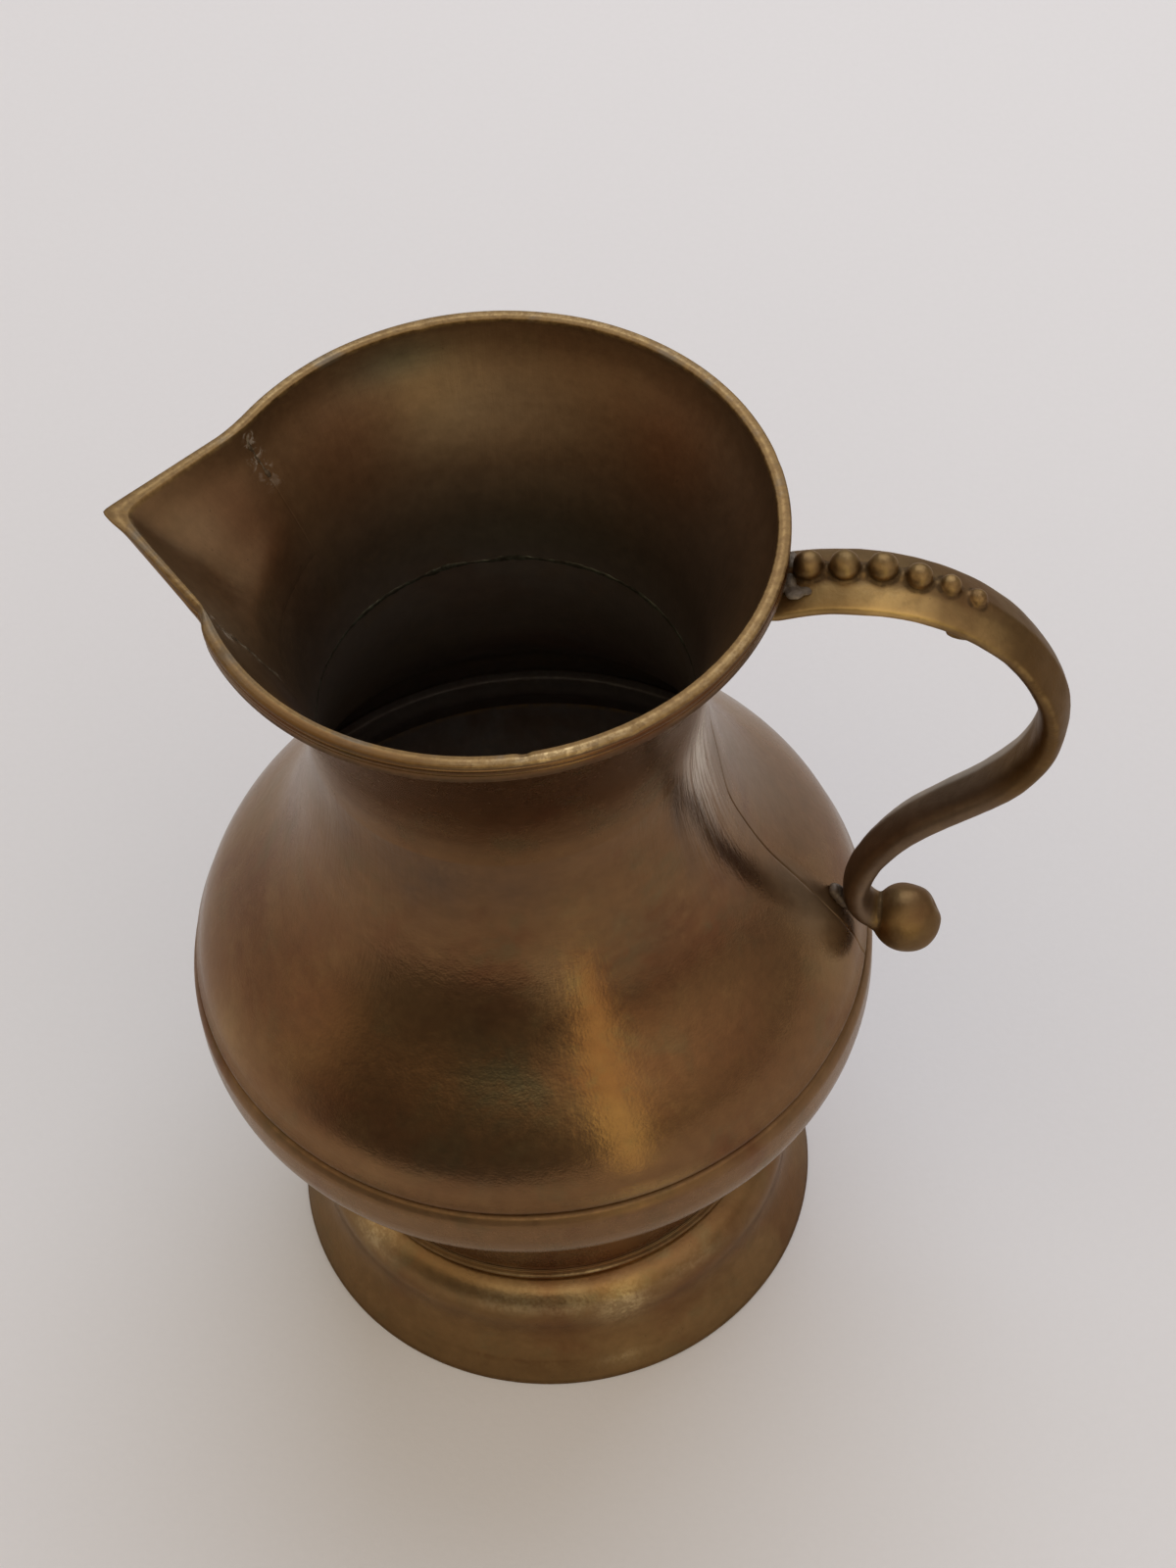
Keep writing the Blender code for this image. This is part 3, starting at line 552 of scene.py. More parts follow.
def handle_piece():
    line = cubic(HANDLE, 0.8, 4)
    tan = np.gradient(line, axis=0)
    tan /= np.hypot(tan[:, 0], tan[:, 1])[:, None]
    s = np.r_[0, np.cumsum(np.hypot(*np.diff(line, axis=0).T))]
    u = s / s[-1]
    knots = np.linspace(0, 1, 6)
    w, t = np.interp(u, knots, HANDLE_W), np.interp(u, knots, HANDLE_T)
    roof = 1.35 * (1 - smoothstep(u, 0.34, 0.60)) + 0.05
    power = 2.6 - 0.25 * smoothstep(u, 0.45, 0.62) - 0.1 * smoothstep(u, 0.80, 0.97)
    rings = []
    for i, (x, z) in enumerate(line):
        ring = []
        for k in range(44):
            a = TAU * k / 44
            c, q = math.cos(a), math.sin(a)
            v = math.copysign(abs(q) ** (2 / power[i]), q)
            h = math.copysign(abs(c) ** (2 / power[i]), c)
            out = h * t[i] / 2
            if h > 0:
                out -= roof[i] * abs(v) * h
            ring.append((x - tan[i, 1] * out, v * w[i] / 2, z + tan[i, 0] * out))
        ring = np.array(ring)
        if i < 3:
            wall = np.sqrt(r_flare(ring[:, 2]) ** 2 - ring[:, 1] ** 2) + (0.25, 0.9, 1.6)[i]
            ring[:, 0] = wall if i == 0 else np.maximum(ring[:, 0], wall)
        rings.append(ring)
    parts = [loft(rings)]
    bx, bz, br = BALL
    parts.append(sphere(bx, 0, bz, br, br * 1.0, br, 40, 28))
    # the neck between the scroll and its ball
    parts.append(sphere(53.6, 0, 76.9, 3.3, 3.0, 2.5))
    for i, (x, z, r) in enumerate(BEADS):
        k = (1.0, 1.02, 1.02, 1.0, 0.97, 0.94)[i]
        parts.append(sphere(x - 0.28, 0.12 * (-1) ** i, z - 0.40, r * k, r * k, r * k * 0.96, 28, 18))
    # a low lump left by the casting on the front lower edge
    parts.append(sphere(63.4, -2.95, 146.8, 3.0, 1.15, 1.05, 20, 12))
    # fins that fill in between the beads
    for (xa, za, ra), (xb, zb, rb) in zip(BEADS[:-1], BEADS[1:]):
        parts.append(sphere((xa + xb) / 2 - 0.3, 0, (za + zb) / 2 - 1.45, 1.3, 1.25, 0.85, 16, 10))
    co, faces, base = [], [], 0
    for c, f in parts:
        co.append(c)
        faces += [tuple(v + base for v in q) for q in f]
        base += len(c)
    raw = new_mesh("handle_raw", np.vstack(co), faces)
    mod = raw.modifiers.new("Fuse", "REMESH")
    mod.mode = "VOXEL"
    mod.voxel_size = 0.24 * MM
    mod.use_smooth_shade = True
    soft = raw.modifiers.new("Soften", "SMOOTH")
    soft.factor = 0.5
    soft.iterations = 9
    dg = bpy.context.evaluated_depsgraph_get()
    me = bpy.data.meshes.new_from_object(raw.evaluated_get(dg))
    bpy.data.objects.remove(raw, do_unlink=True)
    n = len(me.vertices)
    p = np.empty(n * 3)
    nr = np.empty(n * 3)
    me.vertices.foreach_get("co", p)
    me.vertices.foreach_get("normal", nr)
    p, nr = p.reshape(-1, 3) / MM, nr.reshape(-1, 3)
    # cast skin: shallow dents all over, and three deeper dents and a ripple on the ball
    d = 0.10 * ripple(*p.T, 6.0, 1.0) + 0.04 * ripple(*p.T, 2.2, 9.0)
    rel = p - np.array([bx, 0, bz])
    dist = np.linalg.norm(rel, axis=1)
    unit = rel / np.maximum(dist, 1e-6)[:, None]
    on_ball = smoothstep(-dist, -7.5, -5.6)
    for vec, deep, wide in (((0.88, 0.32, 0.36), 0.75, 0.30), ((0.2, -0.35, 0.92), 0.25, 0.5),
                            ((-0.1, -0.9, -0.5), 0.2, 0.5)):
        v = np.array(vec) / np.linalg.norm(vec)
        d -= deep * on_ball * np.exp(-((1 - unit @ v) / wide ** 2 * 2))
    d += on_ball * 0.22 * ripple(*p.T, 4.0, 12.0)
    p = p + nr * d[:, None]
    me.vertices.foreach_set("co", (p * MM).ravel())
    me.update()
    me.shade_smooth()
    # wear and dirt from how far each point stands above its neighbourhood
    e = np.empty(len(me.edges) * 2, np.int32)
    me.edges.foreach_get("vertices", e)
    e = e.reshape(-1, 2)
    avg = p.copy()
    for _ in range(14):
        acc, cnt = np.zeros_like(avg), np.zeros(n)
        for a, b in ((0, 1), (1, 0)):
            for k in range(3):
                acc[:, k] += np.bincount(e[:, a], avg[e[:, b], k], n)
            cnt += np.bincount(e[:, a], minlength=n)
        avg = 0.5 * avg + 0.5 * acc / np.maximum(cnt, 1)[:, None]
    high = ((p - avg) * nr).sum(1)
    choc = smoothstep(-p[:, 2], -124, -110) * smoothstep(dist, 5.9, 7.4)
    umber = smoothstep(p[:, 0], 66, 73) * smoothstep(p[:, 2], 105, 115)
    # painted reflection: a pale strip on upward-facing faces of the lower handle's far side
    pale = (smoothstep(p[:, 1], 1.1, 2.0) * smoothstep(-nr[:, 0] + nr[:, 2], 0.2, 0.8) * smoothstep(-nr[:, 1], -0.8, -0.5)
            * smoothstep(-p[:, 2], -127, -118) * smoothstep(dist, 5.9, 7.4))
    # painted highlight: bright gold on the near side of the upper handle
    gold_painted_light = (smoothstep(-p[:, 1], 1.6, 2.7) * smoothstep(p[:, 2], 138, 146)
            * np.interp(p[:, 0], (40, 47, 52, 56, 60, 64, 67, 70), (0.45, 0.4, 1.0, 0.9, 0.2, 0.1, 0.45, 0.0)))
    for key, val in (("wear", np.clip(high / 0.30, 0, 1)), ("dirt", np.clip(-high / 0.16, 0, 1)),
                     ("choc", choc), ("umber", umber), ("gold_painted_light", gold_painted_light), ("pale", pale)):
        at = me.attributes.new(key, "FLOAT", "POINT")
        at.data.foreach_set("value", val.astype(np.float32))
    me.name = "handle_skin"
    obj = bpy.data.objects.new("handle_skin", me)
    bpy.context.scene.collection.objects.link(obj)
    return obj


# --------------------------------------------------------------------- braze
def bead_run(name, points, radii, seed, sides=12, rough=0.3):
    """An uneven run of braze along a path of points, closed at both ends."""
    p = np.array(points, float)
    t = np.gradient(p, axis=0)
    t /= np.linalg.norm(t, axis=1)[:, None]
    rings = []
    for i in range(len(p)):
        out = np.array([p[i, 0], p[i, 1], 0.0])
        out -= t[i] * (out @ t[i])
        out /= np.linalg.norm(out)
        side = np.cross(t[i], out)
        ring = []
        for k in range(sides):
            a = TAU * k / sides
            way = out * math.cos(a) * 0.6 + side * math.sin(a)
            r = radii[i] * (1 + rough * noise.noise(Vector(p[i] * 0.9 + way * 0.8) + Vector((seed, 0, 0))))
            r *= 1 + 0.5 * rough * noise.noise(Vector(p[i] * 2.7 + way * 1.5))
            ring.append(p[i] + way * r)
        rings.append(np.array(ring))
    co, faces = loft(rings)
    return new_mesh(name, co, faces, sharp=60)


def seam_run(name, side, low, high, base, seed):
    pts, rad = [], []
    n = 90
    for i in range(n):
        u = i / (n - 1)
        z = low + (high - low) * u
        ang = math.radians(24.4 + 1.2 * noise.noise(Vector((z * 0.22, seed, 1.0)))
                           + 0.5 * noise.noise(Vector((z * 0.9, seed, 5.0))))
        r = float(r_inner(z)) + float(spout_bump(np.array([ang]), np.array([z]), True)[0])
        r += 0.10
        a = math.pi + side * ang
        pts.append((r * math.cos(a), r * math.sin(a), z))
        q = 0.55 + 0.75 * noise.noise(Vector((z * 0.7, 4.0, seed)))
        rad.append(base * max(0.25, q) * min(1.0, 8 * u + 0.15, 8 * (1 - u) + 0.15))
    return bead_run(name, pts, rad, seed)


def neck_ring():
    """Pitted ring of braze over the joint inside the neck."""
    n, m = 540, 10
    rings = []
    r0 = float(np.interp(NECK_Z, flare_in[::-1, 1], flare_in[::-1, 0]))
    for i in range(n):
        a = TAU * i / n
        p = Vector((26.7 * math.cos(a), 26.7 * math.sin(a), 0))
        q = 0.5 + 0.5 * noise.noise(p * 0.35) + 0.35 * noise.noise(p * 1.3) + 0.2 * noise.noise(p * 3.0)
        deg = math.degrees(a)
        shown = 0.25 + 0.75 * max(0.0, min(1.0, (math.cos(math.radians(deg - 88)) - 0.25) / 0.5))
        h = max(0.03, 0.22 * (q - 0.2) * shown)
        wid = 0.5 + 0.4 * noise.noise(p * 0.2 + Vector((7, 1, 3))) + 0.2 * noise.noise(p * 1.1)
        zc = NECK_Z + 0.5 * noise.noise(p * 0.12 + Vector((1, 9, 2))) + 0.15 * noise.noise(p * 0.7)
        ring = []
        for k in range(m):
            b = TAU * k / m
            ring.append(((r0 + 0.25 - (h + 0.25) * (0.5 + 0.5 * math.cos(b))) * math.cos(a),
                         (r0 + 0.25 - (h + 0.25) * (0.5 + 0.5 * math.cos(b))) * math.sin(a),
                         zc + wid * math.sin(b)))
        rings.append(ring)
    co = np.array(rings).reshape(-1, 3)
    faces = []
    for i in range(n):
        j = (i + 1) % n
        for k in range(m):
            l = (k + 1) % m
            faces.append((i * m + k, i * m + l, j * m + l, j * m + k))
    return new_mesh("neck_braze_ring_skin", co, faces, sharp=70)


def lump(name, parts, voxel, seed, amp):
    """Several rounded blobs melted into one."""
    co, faces, base = [], [], 0
    for c, f in parts:
        co.append(c)
        faces += [tuple(v + base for v in q) for q in f]
        base += len(c)
    raw = new_mesh(name + "_raw", np.vstack(co), faces)
    mod = raw.modifiers.new("Fuse", "REMESH")
    mod.mode = "VOXEL"
    mod.voxel_size = voxel * MM
    soft = raw.modifiers.new("Soften", "SMOOTH")
    soft.iterations = 4
    dg = bpy.context.evaluated_depsgraph_get()
    me = bpy.data.meshes.new_from_object(raw.evaluated_get(dg))
    bpy.data.objects.remove(raw, do_unlink=True)
    n = len(me.vertices)
    p, nr = np.empty(n * 3), np.empty(n * 3)
    me.vertices.foreach_get("co", p)
    me.vertices.foreach_get("normal", nr)
    p, nr = p.reshape(-1, 3) / MM, nr.reshape(-1, 3)
    p = p + nr * (amp * ripple(*p.T, 0.9, seed) + 0.5 * amp * ripple(*p.T, 0.4, seed + 2))[:, None]
    me.vertices.foreach_set("co", (p * MM).ravel())
    me.update()
    me.shade_smooth()
    me.name = name
    obj = bpy.data.objects.new(name, me)
    bpy.context.scene.collection.objects.link(obj)
    return obj


def root_braze():
    """Braze round the handle's upper end, run out a little over its top."""
    parts = []
    for y in np.linspace(-5.2, 5.2, 9):
        for z, r in ((148.4, 0.8), (153.4, 0.75)):
            x = math.sqrt(float(r_flare(z)) ** 2 - y * y)
            parts.append(sphere(x + 0.35, y, z, r, r * 1.2, r, 16, 10))
    for z in np.linspace(148.6, 153.4, 5):
        for y in (-5.5, 5.5):
            x = math.sqrt(float(r_flare(z)) ** 2 - y * y)
            parts.append(sphere(x + 0.35, y, z, 0.75, 0.7, 0.9, 16, 10))
    parts.append(sphere(40.6, -3.2, 153.85, 1.4, 1.3, 0.36, 18, 10))
    parts.append(sphere(42.0, -3.0, 153.95, 1.0, 0.8, 0.28, 18, 10))
    parts.append(sphere(39.9, -1.4, 154.0, 0.9, 1.4, 0.4, 18, 10))
    parts.append(sphere(39.9, 2.3, 153.9, 0.9, 1.5, 0.4, 18, 10))
    # the runs that join these pools to the fillet
    parts.append(sphere(38.5, -2.4, 153.8, 1.5, 1.0, 0.40, 18, 10))
    parts.append(sphere(38.5, 2.2, 153.8, 1.5, 0.9, 0.40, 18, 10))
    return lump("handle_root_braze_skin", parts, 0.16, 3.0, 0.05)


def scroll_braze():
    parts = []
    reader = radius_at(shoulder)
    for z, th, half in ((79.6, 0.75, 0.7), (80.4, 0.8, 0.9), (81.2, 0.8, 0.9), (82.0, 0.8, 0.7), (82.6, 0.75, 0.45)):
        for y in np.linspace(-half, half, 5):
            x = math.sqrt(float(reader(z)) ** 2 - y * y)
            parts.append(sphere(x + 0.75, y, z, th, 0.6, 0.7, 16, 10))
    return lump("handle_scroll_braze_skin", parts, 0.16, 6.0, 0.05)


def foot_braze():
    n, m = 360, 10
    co = []
    for i in range(n):
        a = TAU * i / n
        p = Vector((31.2 * math.cos(a), 31.2 * math.sin(a), 0))
        h = 1.0 + 0.25 * noise.noise(p * 0.4) + 0.15 * noise.noise(p * 1.4)
        for k in range(m):
            b = TAU * k / m
            co.append(((31.35 + 0.75 * math.cos(b)) * math.cos(a), (31.35 + 0.75 * math.cos(b)) * math.sin(a),
                       22.35 + (0.72 if math.sin(b) > 0 else 0.8 * h) * math.sin(b)))
    faces = []
    for i in range(n):
        j = (i + 1) % n
        for k in range(m):
            l = (k + 1) % m
            faces.append((i * m + k, i * m + l, j * m + l, j * m + k))
    return new_mesh("foot_braze_ring_skin", np.array(co), faces, sharp=70)


# ----------------------------------------------------------------- materials
class Nodes:
    """Small helper that adds and links shader nodes."""

    def __init__(self, name):
        self.mat = bpy.data.materials.new(name)
        self.mat.use_nodes = True
        self.t = self.mat.node_tree
        self.b = self.t.nodes["Principled BSDF"]

    def add(self, kind, **props):
        n = self.t.nodes.new(kind)
        for k, v in props.items():
            setattr(n, k, v)
        return n

    def link(self, a, b):
        self.t.links.new(a, b)

    def put(self, sock, v):
        if hasattr(v, "links") or isinstance(v, bpy.types.NodeSocket):
            self.link(v, sock)
        else:
            sock.default_value = v

    def math(self, op, a, b=None, c=None, clamp=False):
        n = self.add("ShaderNodeMath", operation=op, use_clamp=clamp)
        for i, v in enumerate((a, b, c)):
            if v is not None:
                self.put(n.inputs[i], v)
        return n.outputs[0]

    def ramp(self, fac, lo, hi, out_lo=0.0, out_hi=1.0):
        n = self.add("ShaderNodeMapRange", interpolation_type="SMOOTHSTEP")
        self.put(n.inputs["Value"], fac)
        for key, v in (("From Min", lo), ("From Max", hi), ("To Min", out_lo), ("To Max", out_hi)):
            n.inputs[key].default_value = v
        return n.outputs["Result"]

    def noise(self, vec, scale, detail=3.0, rough=0.55, distort=0.0):
        n = self.add("ShaderNodeTexNoise")
        self.put(n.inputs["Vector"], vec)
        n.inputs["Scale"].default_value = scale
        n.inputs["Detail"].default_value = detail
        n.inputs["Roughness"].default_value = rough
        n.inputs["Distortion"].default_value = distort
        return n.outputs["Fac"]

    def mix(self, fac, a, b, mode="MIX"):
        n = self.add("ShaderNodeMix", data_type="RGBA", blend_type=mode)
        self.put(n.inputs["Factor"], fac)
        self.put(n.inputs["A"], a)
        self.put(n.inputs["B"], b)
        return n.outputs["Result"]

    def attr(self, name):
        n = self.add("ShaderNodeAttribute", attribute_name=name)
        return n.outputs["Fac"]

    def scaled(self, vec, k):
        n = self.add("ShaderNodeVectorMath", operation="MULTIPLY")
        self.put(n.inputs[0], vec)
        n.inputs[1].default_value = k
        return n.outputs[0]


def rgb(r, g, b):
    return (r, g, b, 1.0)


def brass(name, base=(0.185, 0.094, 0.037), red=(0.150, 0.062, 0.024), olive=(0.150, 0.098, 0.042),
          worn=(0.42, 0.27, 0.105), rough=0.31, turned=1.0, strokes=0.0, cast=0.0, inside=False,
          bright=0.0, metal=0.94, edges=0.75, grimy=0.5, grit=1.0, waves=0.0, coat=0.14, kind=""):
    """Aged brass: mottled brown patina, worn edges, dirt in crevices, fine tool marks."""
    k = Nodes(name)
    co = k.add("ShaderNodeTexCoord").outputs["Object"]
    sep = k.add("ShaderNodeSeparateXYZ")
    k.link(co, sep.inputs[0])
    x, y, z = sep.outputs
    r = k.math("SQRT", k.math("ADD", k.math("MULTIPLY", x, x), k.math("MULTIPLY", y, y)))
    cx, cy = k.math("DIVIDE", x, r), k.math("DIVIDE", y, r)
    # directions: rings run round the axis, strokes run along the profile
    ring = k.add("ShaderNodeCombineXYZ")
    k.put(ring.inputs[0], k.math("MULTIPLY", cx, 0.35))
    k.put(ring.inputs[1], k.math("MULTIPLY", cy, 0.35))
    k.put(ring.inputs[2], k.math("MULTIPLY", z, 240.0))
    stroke = k.add("ShaderNodeCombineXYZ")
    k.put(stroke.inputs[0], k.math("MULTIPLY", cx, 52.0))
    k.put(stroke.inputs[1], k.math("MULTIPLY", cy, 52.0))
    k.put(stroke.inputs[2], k.math("MULTIPLY", z, 70.0))
    big = k.noise(co, 34.0, 4.0, 0.6, 0.4)
    mid = k.noise(co, 110.0, 5.0, 0.62, 0.3)
    fine = k.noise(co, 900.0, 4.0, 0.6)
    speck = k.noise(co, 2600.0, 2.0, 0.5)
    bands = k.noise(ring.outputs[0], 1.0, 4.0, 0.6)
    brush = k.noise(stroke.outputs[0], 1.0, 4.0, 0.6, 0.1)
    wear, dirt = k.attr("wear"), k.attr("dirt")

    deep = k.attr("inside")
    low = k.mix(k.ramp(z, 0.150, 0.118), rgb(0.190, 0.110, 0.052), rgb(0.162, 0.130, 0.106))
    low = k.mix(k.ramp(z, 0.100, 0.065), low, rgb(0.230, 0.198, 0.175))
    col = k.mix(deep, rgb(*base), low)
    ruddy = k.math("MULTIPLY", k.ramp(big, 0.50, 0.66), k.math("SUBTRACT", 1.0, k.math("MULTIPLY", deep, 0.8)))
    col = k.mix(ruddy, col, rgb(*red))
    mottle = k.math("SUBTRACT", 1.0, k.math("MULTIPLY", deep, 0.6))
    col = k.mix(k.math("MULTIPLY", mottle, k.ramp(mid, 0.52, 0.72, 0.0, 0.75)), col, rgb(*olive))
    if kind == "body":
        # amber patches: partly a lighter patina, partly painted highlight, such as the golden dash on the lip above the
        # groove
        col = k.mix(k.math("MULTIPLY", k.attr("amber_and_painted_highlight"), k.ramp(mid, 0.30, 0.60, 0.5, 1.0)), col, rgb(0.310, 0.190, 0.080))
        # violet patches: partly a darker patina, partly painted shade on the upper shoulder, with a narrow dark
        # reflected streak
        col = k.mix(k.math("MULTIPLY", k.attr("violet_and_painted_shade"), k.ramp(mid, 0.60, 0.35, 0.5, 1.0)), col, rgb(0.112, 0.067, 0.040))
        col = k.mix(k.math("MULTIPLY", k.attr("ruddy"), k.ramp(mid, 0.30, 0.60)), col, rgb(0.155, 0.064, 0.027))
        col = k.mix(k.math("MULTIPLY", k.attr("green"), k.ramp(mid, 0.62, 0.36)), col, rgb(0.125, 0.100, 0.048))
    # thin spots in the patina let the yellow metal through
    thin = k.math("MULTIPLY", k.ramp(mid, 0.48, 0.30), k.ramp(fine, 0.45, 0.62), clamp=True)
    col = k.mix(k.math("MULTIPLY", thin, 0.14), col, rgb(*[0.55 * a + 0.45 * b for a, b in zip(base, worn)]))
    dull = None
    if kind == "body":
        dull = k.attr("dull")
        col = k.mix(k.math("MULTIPLY", dull, 0.75), col, rgb(0.165, 0.122, 0.080))
    if kind == "mouth":
        # painted highlight: brighter golden patches inside the mouth and spout
        col = k.mix(k.math("MULTIPLY", k.attr("painted_interior_highlight"), deep), col, rgb(0.31, 0.213, 0.122))
        col = k.mix(k.math("MULTIPLY", k.attr("soot"), deep), col, rgb(0.155, 0.110, 0.084))
        col = k.mix(k.math("MULTIPLY", k.attr("russet"), deep), col, rgb(0.165, 0.078, 0.037))
        col = k.mix(k.math("MULTIPLY", k.attr("verdant"), deep), col, rgb(0.125, 0.115, 0.075))
        dull = k.math("MULTIPLY", k.math("MULTIPLY", k.attr("dusty"), deep), 0.5)
        col = k.mix(k.math("MULTIPLY", dull, k.ramp(mid, 0.35, 0.6, 1.0, 2.0)), col, rgb(0.215, 0.145, 0.080))
    if kind == "cast":
        choc = k.attr("choc")
        col = k.mix(k.math("MULTIPLY", choc, 0.75), col, rgb(0.152, 0.104, 0.074))
        col = k.mix(k.math("MULTIPLY", k.attr("umber"), 0.9), col, rgb(0.118, 0.064, 0.023))
        # painted reflection: a pale strip on the lower handle
        col = k.mix(k.math("MULTIPLY", k.attr("pale"), 0.85), col, rgb(0.42, 0.375, 0.32))
        # painted highlight: bright gold on the handle's near side
        col = k.mix(k.math("MULTIPLY", k.attr("gold_painted_light"), k.ramp(mid, 0.36, 0.52, 0.45, 1.0)), col, rgb(0.54, 0.350, 0.135))
    if kind in ("mouth", "body"):
        # painted sheen: pale streaks of reflected light along the brush strokes at the foot of the neck
        painted_sheen = k.math("MULTIPLY", k.attr("painted_sheen"), k.math("SUBTRACT", 1.0, deep))
        painted_sheen = k.math("MULTIPLY", painted_sheen, k.ramp(brush, 0.42, 0.54, 0.15, 1.0))
        # darker towards the rim, on the outside
        low = k.ramp(z, 0.092, 0.150, 1.0, 0.70)
        low = k.math("ADD", k.math("MULTIPLY", low, k.math("SUBTRACT", 1.0, deep)), deep)
        lowc = k.add("ShaderNodeCombineColor")
        for i in range(3):
            k.put(lowc.inputs[i], low)
        col = k.mix(1.0, col, lowc.outputs[0], "MULTIPLY")
        col = k.mix(painted_sheen, col, rgb(0.60, 0.545, 0.475))
    if kind == "foot":
        rub_and_painted_highlight = k.attr("rub_and_painted_highlight")
        grain = k.math("ADD", k.math("MULTIPLY", k.noise(co, 1500.0, 3.0, 0.6), 0.5), k.math("MULTIPLY", k.noise(co, 300.0, 4.0, 0.6), 0.5))
        # browner places on the foot, partly patina and partly painted shade
        brown_and_painted_shade = k.math("MULTIPLY", k.attr("brown_and_painted_shade"), k.ramp(k.noise(co, 190.0, 5.0, 0.65, 0.6), 0.40, 0.60, 0.35, 1.0))
        col = k.mix(brown_and_painted_shade, col, rgb(0.128, 0.064, 0.023))
        # bright gold of the rubbed places, partly real wear and partly painted highlight
        patch = k.math("MULTIPLY", rub_and_painted_highlight, k.ramp(grain, 0.40, 0.60, 0.35, 1.0))
        col = k.mix(patch, col, rgb(0.56, 0.42, 0.22))
        # painted shade: darker over the foot's lowest few millimetres, next to the floor
        col = k.mix(k.ramp(z, 0.006, 0.001, 0.0, 0.25), col, rgb(0.085, 0.052, 0.024))
    shade = k.math("ADD", 0.80, k.math("MULTIPLY", k.math("ADD", k.math("MULTIPLY", bands, 0.5),
                                                           k.math("MULTIPLY", fine, 0.5)), 0.40))
    shade = k.math("MULTIPLY", shade, k.math("ADD", 0.80, k.math("MULTIPLY", k.noise(co, 420.0, 3.0, 0.6), 0.40)))
    tone = k.add("ShaderNodeCombineColor")
    for i in range(3):
        k.put(tone.inputs[i], shade)
    col = k.mix(1.0, col, tone.outputs[0], "MULTIPLY")
    # small dark pits
    pits = k.ramp(k.noise(co, 1500.0, 1.0, 0.4), 0.74, 0.80)
    pits = k.math("MULTIPLY", pits, k.ramp(k.noise(co, 70.0, 2.0, 0.5), 0.50, 0.66))
    col = k.mix(k.math("MULTIPLY", pits, 0.4), col, rgb(0.05, 0.032, 0.018))
    # worn edges and dirty crevices
    edge = k.math("MULTIPLY", k.ramp(wear, 0.10, 0.45), k.ramp(k.math("ADD", k.math("MULTIPLY", mid, 0.6),
                                                                k.math("MULTIPLY", fine, 0.4)), 0.36, 0.60), clamp=True)
    col = k.mix(k.math("MULTIPLY", edge, edges), col, rgb(*worn))
    grime = k.math("MULTIPLY", k.ramp(dirt, 0.06, 0.35), k.ramp(fine, 0.30, 0.62, 0.5, 1.0), clamp=True)
    col = k.mix(k.math("MULTIPLY", grime, grimy), col, rgb(0.045, 0.028, 0.016))
    if kind == "mouth":
        face = k.attr("face")
        gold_painted_light = k.mix(k.ramp(fine, 0.35, 0.65), rgb(0.175, 0.100, 0.038), rgb(0.300, 0.185, 0.072))
        gold_painted_light = k.mix(k.ramp(mid, 0.50, 0.68), gold_painted_light, rgb(0.19, 0.140, 0.088))
        # painted glint: bright gold specks along the rim's outer edge
        glint_mix = k.math("MULTIPLY", k.attr("rim_painted_glint"), k.ramp(k.noise(co, 1300.0, 3.0, 0.65), 0.42, 0.62, 0.25, 1.0))
        gold_painted_light = k.mix(glint_mix, gold_painted_light, rgb(0.66, 0.47, 0.23))
        # painted shade: the rim's face darker on its front left part
        gold_painted_light = k.mix(k.attr("rim_painted_shade"), gold_painted_light, rgb(0.185, 0.092, 0.030))
        col = k.mix(k.math("MULTIPLY", face, 0.9), col, gold_painted_light)
        stain = k.attr("stain")
        fleck = k.math("MULTIPLY", k.math("MULTIPLY", k.math("MULTIPLY", deep, k.ramp(z, 0.147, 0.153)), k.ramp(stain, 0.12, 0.6)), k.ramp(k.noise(co, 620.0, 5.0, 0.7, 0.8), 0.51, 0.61))
        fleck = k.math("MULTIPLY", fleck, k.ramp(k.noise(co, 150.0, 2.0, 0.5), 0.40, 0.54))
        col = k.mix(k.math("MULTIPLY", fleck, 0.65), col, rgb(0.44, 0.38, 0.31))
    k.link(col, k.b.inputs["Base Color"])
    amount = k.ramp(deep, 0.0, 1.0, metal, 0.84)
    if dull is not None:
        amount = k.math("SUBTRACT", amount, k.math("MULTIPLY", dull, 0.40))
    amount = k.math("SUBTRACT", amount, k.math("MULTIPLY", deep, k.ramp(z, 0.136, 0.116, 0.0, 0.34)))
    k.put(k.b.inputs["Metallic"], amount)
    k.b.inputs["Specular Tint"].default_value = rgb(0.84, 0.76, 0.68)
    k.b.inputs["Coat Weight"].default_value = coat
    k.b.inputs["Coat Roughness"].default_value = 0.34
    k.b.inputs["Coat IOR"].default_value = 1.42
    # roughness
    ro = k.math("ADD", rough, k.math("MULTIPLY", k.math("SUBTRACT", mid, 0.5), 0.16))
    ro = k.math("ADD", ro, k.math("MULTIPLY", k.math("SUBTRACT", fine, 0.5), 0.14))
    ro = k.math("ADD", ro, k.math("MULTIPLY", grime, 0.25))
    ro = k.math("ADD", ro, k.math("MULTIPLY", deep, 0.14))
    ro = k.math("SUBTRACT", ro, k.math("MULTIPLY", edge, 0.05))
    if dull is not None:
        ro = k.math("ADD", ro, k.math("MULTIPLY", dull, 0.28))
    if kind == "mouth":
        ro = k.math("ADD", ro, k.math("MULTIPLY", face, 0.10))
        ro = k.math("ADD", ro, k.math("MULTIPLY", fleck, 0.3))
    k.put(k.b.inputs["Roughness"], k.math("MAXIMUM", ro, 0.10))
